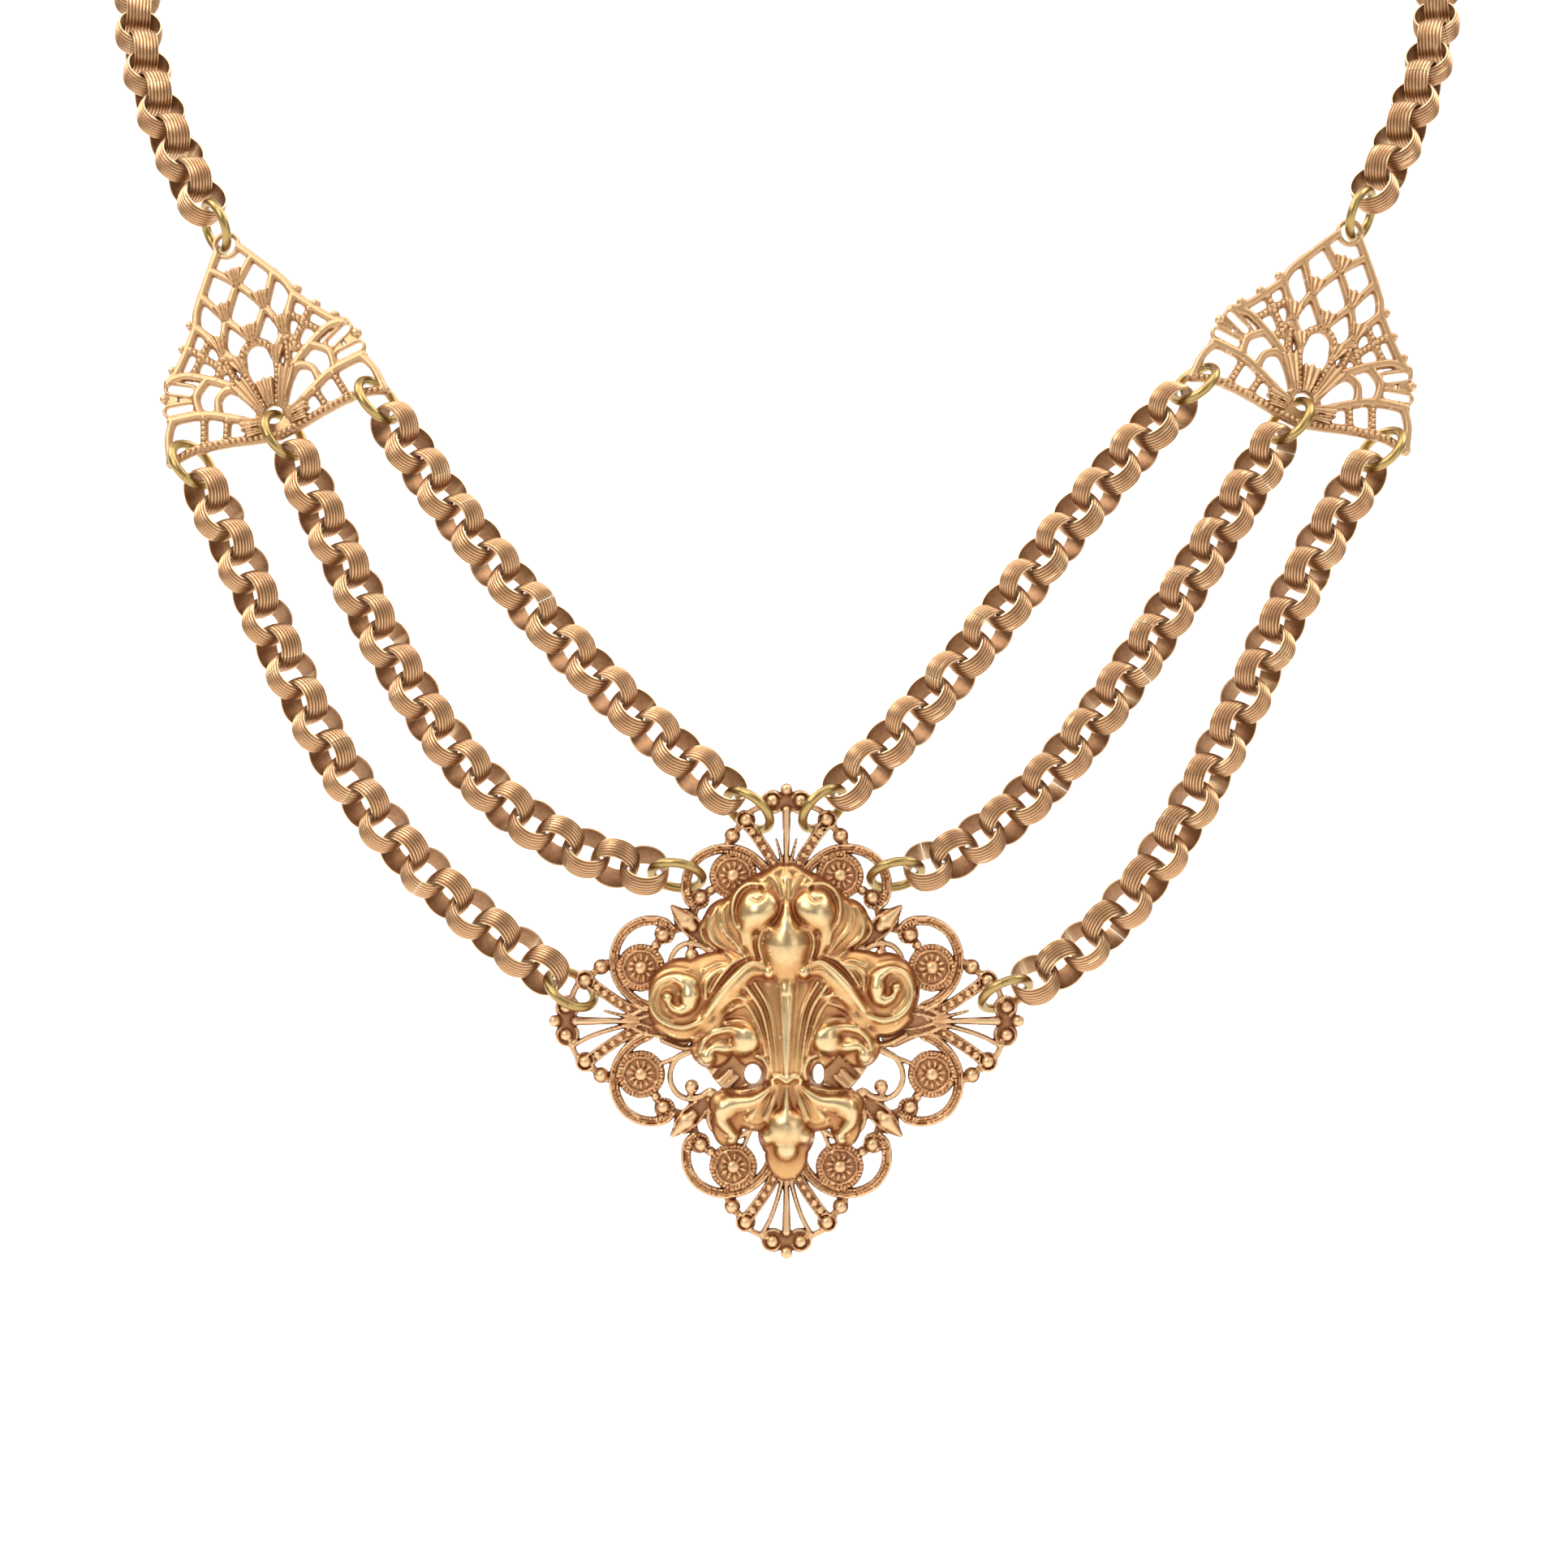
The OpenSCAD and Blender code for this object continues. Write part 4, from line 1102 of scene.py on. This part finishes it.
@dataclass
class Fan:
    """A pierced fan plate.

    Attributes:
        side: -1 for the left one, 1 for the right one.
        step: Spacing of its grid in millimetres.
        relief: Its metal and relief in one half.
    """

    side: int
    step: float = 0.1
    relief: Relief = field(default_factory=lambda: Relief(FAN_OUTLINE, FAN_SPOTS))

    @staticmethod
    def shells(u: Array, v: Array) -> tuple:
        """Gives the scalloped shells.

        Args:
            u: Places across.
            v: Places up.

        Returns:
            How far inside a shell each place is, and how high its flutes stand.
        """
        inside, height = np.full(u.shape, OUTSIDE), np.zeros(u.shape)
        for w0, w1, flutes, foot, head in FAN_SHELLS:
            foot, head = np.array(foot), np.array(head)
            size = np.hypot(*(head - foot))
            d = (head - foot) / size
            run = ((u - foot[0]) * d[0] + (v - foot[1]) * d[1]) / size
            off = ((v - foot[1]) * d[0] - (u - foot[0]) * d[1]) / (blend(w0, w1, np.clip(run, 0, 1)) / 2)
            flute = np.cos(math.pi * flutes * np.clip(off, -1, 1) / 2) ** 2
            tip = 1 - 0.14 * off * off + 0.12 * flute
            lies = np.minimum(np.minimum(1 - np.abs(off), (tip - run) * 2.2), (run + 0.2) * 2)
            inside = np.maximum(inside, lies * w1 / 2)
            rise = (0.34 + 0.2 * flute) * np.clip(run * 2 + 0.5, 0, 1) * (lies > 0)
            height = np.maximum(height, rise * np.clip(lies * 5, 0, 1))
        return inside, height

    def metal(self, u: Array, v: Array) -> Array:
        """Gives the fan's outline.

        Args:
            u: Places across.
            v: Places up.

        Returns:
            How far inside the metal each place is.
        """
        half = np.abs(u)
        s = np.maximum.reduce([self.relief.metal(half, v, FAN_MELT), self.relief.metal(-half, v, FAN_MELT),
                               self.shells(half, v)[0]])
        holes = [along(half, v, np.array(slot))[0] - FAN_OPEN for slot in FAN_SLOTS]
        holes += [np.hypot(u, v - place) - r for r, place in FAN_HOLES]
        return np.minimum.reduce([s] + holes)

    def world(self, p: Array) -> Array:
        """Hangs the fan on its eyelet.

        Args:
            p: Points u, v, height.

        Returns:
            The points in the row's frame, in metres.
        """
        x, z = EYELETS[self.side]
        lean = (self.side * FAN_TURN[0], FAN_TURN[1], self.side * FAN_TURN[2])
        z_turn, x_turn, y_turn = (Matrix.Rotation(math.radians(a), 3, axis) for a, axis in zip(lean, "ZXY"))
        turn = z_turn @ x_turn @ y_turn
        local = np.stack([p[:, 0], -p[:, 2], -p[:, 1]], 1)
        return (local @ np.array(turn).T + np.array([x, chest_y(x, z), z])) * MM

    def build(self, material: Material) -> Object:
        """Builds the fan.

        Args:
            material: Its material.

        Returns:
            The piece.
        """
        us = np.arange(-FAN_ACROSS, FAN_ACROSS + self.step, self.step)
        vs = np.arange(FAN_UP[0], FAN_UP[1] + self.step, self.step)
        s = self.metal(*np.meshgrid(us, vs, indexing="ij"))

        def front(u: Array, v: Array, inside: Array) -> Array:
            """Gives the height of the front face."""
            half = np.abs(u)
            cover, flutes = self.shells(half, v)
            h = np.maximum.reduce([self.relief.height(half, v), self.relief.height(-half, v), flutes])
            h = np.where(cover > 0.1, flutes, h)
            return FAN_FACE + FAN_RIM * rounded(inside, 0.2) + h * np.clip(inside / 0.1, 0.3, 1)

        points, faces, count = cut_sheet(us, vs, s, front, PLATE_BACK)
        # the hollows give patina and painted shade, the crowns wear and a painted highlight, both softened
        shade = 0.3 + 0.55 * hollows(points[:count], self.step, 0.8)
        name = "fan_%s_relief" % ("left" if self.side < 0 else "right")
        return add_mesh(name, self.world(points), [f[::-1] for f in faces], material, shade)


# Links and rings


def lathe(profile: Array, steps: int, gap: float) -> tuple:
    """Turns a closed profile round Z, leaving a narrow cut.

    Args:
        profile: Points radius, height, in order.
        steps: Steps round.
        gap: Width of the cut as an angle.

    Returns:
        Vertices and faces.
    """
    n = len(profile)
    angles = np.linspace(gap / 2, 2 * math.pi - gap / 2, steps + 1)
    r, z = profile.T
    points = np.concatenate([np.stack([r * math.cos(a), r * math.sin(a), z], 1) for a in angles])
    faces = [[i * n + j, (i + 1) * n + j, (i + 1) * n + (j + 1) % n, i * n + (j + 1) % n]
             for i in range(steps) for j in range(n)]
    faces.append(list(range(n)))
    faces.append([steps * n + j for j in reversed(range(n))])
    return points, faces


def off_scene(name: str, shape: tuple, material: Material, relief: Optional[Array] = None) -> Object:
    """Makes a unit that the runs repeat, as an object that isn't in the scene.

    Args:
        name: Name of the unit.
        shape: Its vertices in metres and its faces.
        material: Its material.
        relief: The relief of its vertices.

    Returns:
        The unit.
    """
    made = add_mesh(name, *shape, material, relief, 50)
    bpy.context.collection.objects.unlink(made)
    return made


@dataclass(frozen=True)
class Link:
    """The ribbed rolo link.

    Attributes:
        half: Half width of the band.
        edge: Outer radius at the band's edges.
        crown: How far the band's middle stands over its edges.
        inner: Inner radius.
        ribs: Number of ribs round the band.
        groove: Depth of the grooves between them.
        bevel: Width of the bevel inside, and how much it opens.
        steps: Steps round the link.
        seam: Width of the cut seam as an angle.
    """

    half: float = 1.5
    edge: float = 2.7
    crown: float = 0.26
    inner: float = 2.5
    ribs: int = 7
    groove: float = 0.13
    bevel: tuple = (0.1, 0.02)
    steps: int = 32
    seam: float = 0.022

    def build(self, material: Material) -> Object:
        """Builds the link.

        Args:
            material: Its material.

        Returns:
            The link, off the scene.
        """
        a = np.linspace(-self.half, self.half, self.ribs * 4 + 1)
        bulge = self.edge + self.crown * (1 - np.abs(a / self.half) ** 2.2)
        valley = np.sin(math.pi * self.ribs * (a + self.half) / (2 * self.half)) ** 2
        outer = np.stack([bulge - self.groove * valley, a], 1)
        deep, wide = self.half - self.bevel[0], self.inner + self.bevel[1]
        inside = np.array([[wide, self.half], [self.inner, deep], [self.inner, -deep], [wide, -self.half]])
        # the rims get wear and a painted highlight, the grooves and the inside patina and painted shade
        shade = np.concatenate([0.82 - 0.6 * valley, [1.0, 0.36, 0.36, 1.0]])
        shade[[0, len(outer) - 1]] = 1.0
        shape = lathe(np.concatenate([outer, inside]) * MM, self.steps, self.seam)
        return off_scene("link", shape, material, np.tile(shade, self.steps + 1))


@dataclass(frozen=True)
class JumpRing:
    """The round jump ring.

    Attributes:
        r: Radius of the wire's middle line.
        wire: Thickness of the wire.
        sides: Sides of the wire's section.
        steps: Steps round the ring.
        cut: Width of its cut as an angle.
    """

    r: float = 3.02
    wire: float = 1.15
    sides: int = 18
    steps: int = 56
    cut: float = 0.014

    def build(self, material: Material) -> Object:
        """Builds the ring.

        Args:
            material: Its material.

        Returns:
            The ring, off the scene.
        """
        t = np.linspace(0, 2 * math.pi, self.sides, endpoint=False)
        profile = np.stack([self.r + self.wire / 2 * np.cos(t), self.wire / 2 * np.sin(t)], 1)
        return off_scene("ring", lathe(profile * MM, self.steps, self.cut), material)


def islands(name: str) -> list:
    """Splits a CAD node into its solids.

    Args:
        name: Node name.

    Returns:
        One array of vertices for each solid.
    """
    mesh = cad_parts[name].data
    co = np.empty(len(mesh.vertices) * 3)
    mesh.vertices.foreach_get("co", co)
    co = co.reshape(-1, 3)
    _, first, same = np.unique(np.round(co, 6), axis=0, return_index=True, return_inverse=True)
    same = same.reshape(-1)
    ends = np.empty(len(mesh.edges) * 2, int)
    mesh.edges.foreach_get("vertices", ends)
    ends = same[ends].reshape(-1, 2)
    label = np.arange(len(first))
    while True:
        low = np.minimum(label[ends[:, 0]], label[ends[:, 1]])
        new = label.copy()
        np.minimum.at(new, ends[:, 0], low)
        np.minimum.at(new, ends[:, 1], low)
        new = new[new]
        if (new == label).all():
            break
        label = new
    return [co[first][label == k] for k in np.unique(label)]


def pose_of(solid: Array) -> tuple:
    """Finds the place of a ring or link.

    Args:
        solid: Its vertices.

    Returns:
        Its centre and its axis.
    """
    centre = (solid.min(0) + solid.max(0)) / 2
    middle = solid.mean(0)
    for _ in range(3):
        _, _, axes = np.linalg.svd(solid - middle, full_matrices=False)
        flat = (solid - middle) @ axes.T
        middle = middle + ((flat.min(0) + flat.max(0)) / 2) @ axes
    return (middle if np.linalg.norm(middle - centre) < 2 * MM else centre), axes[2]


def run_group() -> NodeTree:
    """Builds the Geometry Nodes group that sets a link on each point.

    Returns:
        The group, with the inputs Geometry, Link, Material and Seam seed.
    """
    g = bpy.data.node_groups.new("LinksOnPoints", "GeometryNodeTree")
    kinds = {"Geometry": "Geometry", "Link": "Object", "Material": "Material", "Seam seed": "Int"}
    for name, kind in kinds.items():
        group_socket(g, name, "NodeSocket" + kind)
    group_socket(g, "Geometry", "NodeSocketGeometry", output=True)
    start, end = node(g, "NodeGroupInput"), node(g, "NodeGroupOutput")
    info = node(g, "GeometryNodeObjectInfo")
    turn = node(g, "GeometryNodeInputNamedAttribute", data_type="FLOAT_VECTOR", _Name="turn")
    euler = node(g, "FunctionNodeEulerToRotation")
    # the seam of each link lies at another place
    spin = node(g, "FunctionNodeRandomValue", data_type="FLOAT")
    spin.inputs[2].default_value = 0.0
    spin.inputs[3].default_value = 2 * math.pi
    about = node(g, "FunctionNodeAxisAngleToRotation", _Axis=(0, 0, 1))
    both = node(g, "FunctionNodeRotateRotation", rotation_space="LOCAL")
    put = node(g, "GeometryNodeInstanceOnPoints")
    real = node(g, "GeometryNodeRealizeInstances")
    paint = node(g, "GeometryNodeSetMaterial")
    for source, out, target, into in (
        (start, "Link", info, "Object"), (start, "Seam seed", spin, "Seed"),
        (turn, "Attribute", euler, "Euler"), (spin, 1, about, "Angle"),
        (euler, "Rotation", both, "Rotation"), (about, "Rotation", both, "Rotate By"),
        (start, "Geometry", put, "Points"), (info, "Geometry", put, "Instance"),
        (both, "Rotation", put, "Rotation"), (put, "Instances", real, "Geometry"),
        (real, "Geometry", paint, "Geometry"), (start, "Material", paint, "Material"),
        (paint, "Geometry", end, "Geometry"),
    ):
        g.links.new(source.outputs[out], target.inputs[into])
    return g


@dataclass
class Run:
    """A piece made of links or rings that stand where a CAD node's solids are.

    Attributes:
        node_name: The CAD node.
        unit: The link or ring, as an object off the scene.
        material: Its material.
        seed: Seed of the seams' turns.
    """

    node_name: str
    unit: Object
    material: Material
    seed: int

    def build(self, group: NodeTree) -> Object:
        """Builds the piece.

        Args:
            group: The group that sets links on points.

        Returns:
            The piece.
        """
        poses = [pose_of(solid) for solid in islands(self.node_name)]
        turns = [tuple(Vector(axis).to_track_quat("Z", "Y").to_euler()) for _, axis in poses]
        mesh = bpy.data.meshes.new(self.node_name + "_points")
        mesh.from_pydata([tuple(centre) for centre, _ in poses], [], [])
        attribute = mesh.attributes.new("turn", "FLOAT_VECTOR", "POINT")
        attribute.data.foreach_set("vector", np.array(turns, np.float32).ravel())
        holder = bpy.data.objects.new(self.node_name + "_points", mesh)
        bpy.context.collection.objects.link(holder)
        nodes = holder.modifiers.new("links", "NODES")
        nodes.node_group = group
        values = {"Link": self.unit, "Material": self.material, "Seam seed": self.seed}
        for item in group.interface.items_tree:
            if item.item_type == "SOCKET" and item.in_out == "INPUT" and item.name in values:
                nodes[item.identifier] = values[item.name]
        graph = bpy.context.evaluated_depsgraph_get()
        made = bpy.data.meshes.new_from_object(holder.evaluated_get(graph), depsgraph=graph)
        bpy.data.objects.remove(holder)
        piece = bpy.data.objects.new(self.node_name + "_detail", made)
        bpy.context.collection.objects.link(piece)
        if not made.materials:
            made.materials.append(self.material)
        return piece


# The scene


def dress(piece: Object, slot: Slot, *nodes: str) -> None:
    """Lets a piece ride on the body and stand for its CAD nodes.

    Args:
        piece: The piece.
        slot: Its material slot; not used.
        nodes: CAD nodes that it stands for.
    """
    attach(piece, "root")
    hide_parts(*nodes)
    log.info("piece %s: %d faces", piece.name, len(piece.data.polygons))


# The paper, in metres: height, front end, place and top of the rise, radius of the bend, half width
FLOOR_Z, FLOOR_FRONT, WALL_Y, WALL_TOP, BEND, FLOOR_HALF = -0.235, -1.2, 0.9, 1.4, 0.35, 2.0
PAPER = (0.93, 0.93, 0.93, 1)
NECKLACE = (0, -0.06, -0.1)
# Area lights: name, place, size, power and what they light
LAMPS = (
    ("key", (-0.5, -0.7, 0.42), 0.42, 3.6, NECKLACE), ("fill", (0.62, -0.72, 0.05), 0.4, 0.95, NECKLACE),
    ("top", (0.0, -0.25, 0.7), 0.6, 2.7, NECKLACE), ("low", (0.1, -0.7, -0.7), 0.5, 0.12, NECKLACE),
    ("wash_left", (-0.9, 0.15, 0.9), 0.9, 12.0, (-0.2, 0.95, -0.1)),
    ("wash_right", (0.9, 0.15, 0.9), 0.9, 12.0, (0.2, 0.95, -0.1)),
)
# The photo's side in pixels, the plate's millimetres in a pixel, the camera's distance from the plate
PHOTO_PX, PX_MM, EYE_DISTANCE = 1932, 0.096, 700
EYE = (-0.00029, -0.788, -0.11697)
SENSOR = 36.0


def paper() -> None:
    """Makes the pale paper that the necklace is seen before; from behind it is clear."""
    bend = [(WALL_Y - BEND + BEND * math.sin(t), FLOOR_Z + BEND * (1 - math.cos(t)))
            for t in np.linspace(0, math.pi / 2, 24)]
    profile = [(FLOOR_FRONT, FLOOR_Z)] + bend + [(WALL_Y, WALL_TOP)]
    points = np.array([(x, y, z) for x in (-FLOOR_HALF, FLOOR_HALF) for y, z in profile])
    m = len(profile)
    faces = [[i, i + m, i + 1 + m, i + 1] for i in range(m - 1)]
    material = bpy.data.materials.new("paper")
    material.use_nodes = True
    tree = material.node_tree
    shader = tree.nodes["Principled BSDF"]
    shader.inputs["Base Color"].default_value = PAPER
    shader.inputs["Roughness"].default_value = 0.9
    mix = node(tree, "ShaderNodeMixShader")
    for socket, value in zip(mix.inputs, (
            node(tree, "ShaderNodeNewGeometry").outputs["Backfacing"], shader.outputs[0],
            node(tree, "ShaderNodeBsdfTransparent").outputs[0])):
        feed(tree, socket, value)
    feed(tree, tree.nodes["Material Output"].inputs["Surface"], mix.outputs[0])
    floor = add_mesh("floor", points, faces, material, None, 80)


def studio() -> None:
    """Makes the paper, the soft lights and the camera."""
    paper()
    scene = bpy.context.scene
    scene.world = bpy.data.worlds.new("studio")
    scene.world.use_nodes = True
    tree = scene.world.node_tree
    back = tree.nodes["Background"]
    back.inputs["Strength"].default_value = 1.0
    parts = node(tree, "ShaderNodeSeparateXYZ")
    feed(tree, parts.inputs[0], node(tree, "ShaderNodeTexCoord").outputs["Generated"])
    feed(tree, back.inputs["Color"], ramp(tree, parts.outputs["Z"], -0.75, 0.95, 0.07, 0.65))
    for name, place, size, power, target in LAMPS:
        light = bpy.data.lights.new(name, "AREA")
        light.size = size
        light.energy = power
        lamp = bpy.data.objects.new(name, light)
        bpy.context.collection.objects.link(lamp)
        lamp.location = place
        lamp.rotation_euler = (Vector(target) - Vector(place)).to_track_quat("-Z", "Y").to_euler()
    data = bpy.data.cameras.new("camera")
    data.sensor_width = SENSOR
    data.lens = SENSOR * EYE_DISTANCE / (PHOTO_PX * PX_MM)
    camera = bpy.data.objects.new("camera", data)
    bpy.context.collection.objects.link(camera)
    camera.location = EYE
    camera.rotation_euler = (math.pi / 2, 0, 0)
    scene.camera = camera
    scene.view_settings.view_transform = "Standard"


def main() -> None:
    """Builds the whole scene."""
    studio()
    group = patina_and_painted_light_group()
    chain_metal, ring_metal, fan_metal = (metal(f, group) for f in (CHAIN_FINISH, RING_FINISH, FAN_FINISH))
    dress(Plate().build(metal(PLATE_FINISH, group)), Slot.FILIGREE, "filigree_plate")
    dress(Boss().build(metal(BOSS_FINISH, group)), Slot.BOSS, "scroll_boss")
    for side, name in ((-1, "fan_left"), (1, "fan_right")):
        dress(Fan(side).build(fan_metal), Slot.FILIGREE, name)
    link, ring = Link().build(chain_metal), JumpRing().build(ring_metal)
    runs = run_group()
    for number, name in enumerate(sorted(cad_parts)):
        if name.startswith(("neck_chain", "strand")):
            dress(Run(name, link, chain_metal, number).build(runs), Slot.CHAIN, name)
        elif "_ring_" in name:
            dress(Run(name, ring, ring_metal, number).build(runs), Slot.RING, name)
    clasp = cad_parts["clasp"]
    clasp.data.materials.clear()
    clasp.data.materials.append(ring_metal)
    for unit in (link, ring):
        bpy.data.objects.remove(unit)


if __name__ == "__main__":
    main()
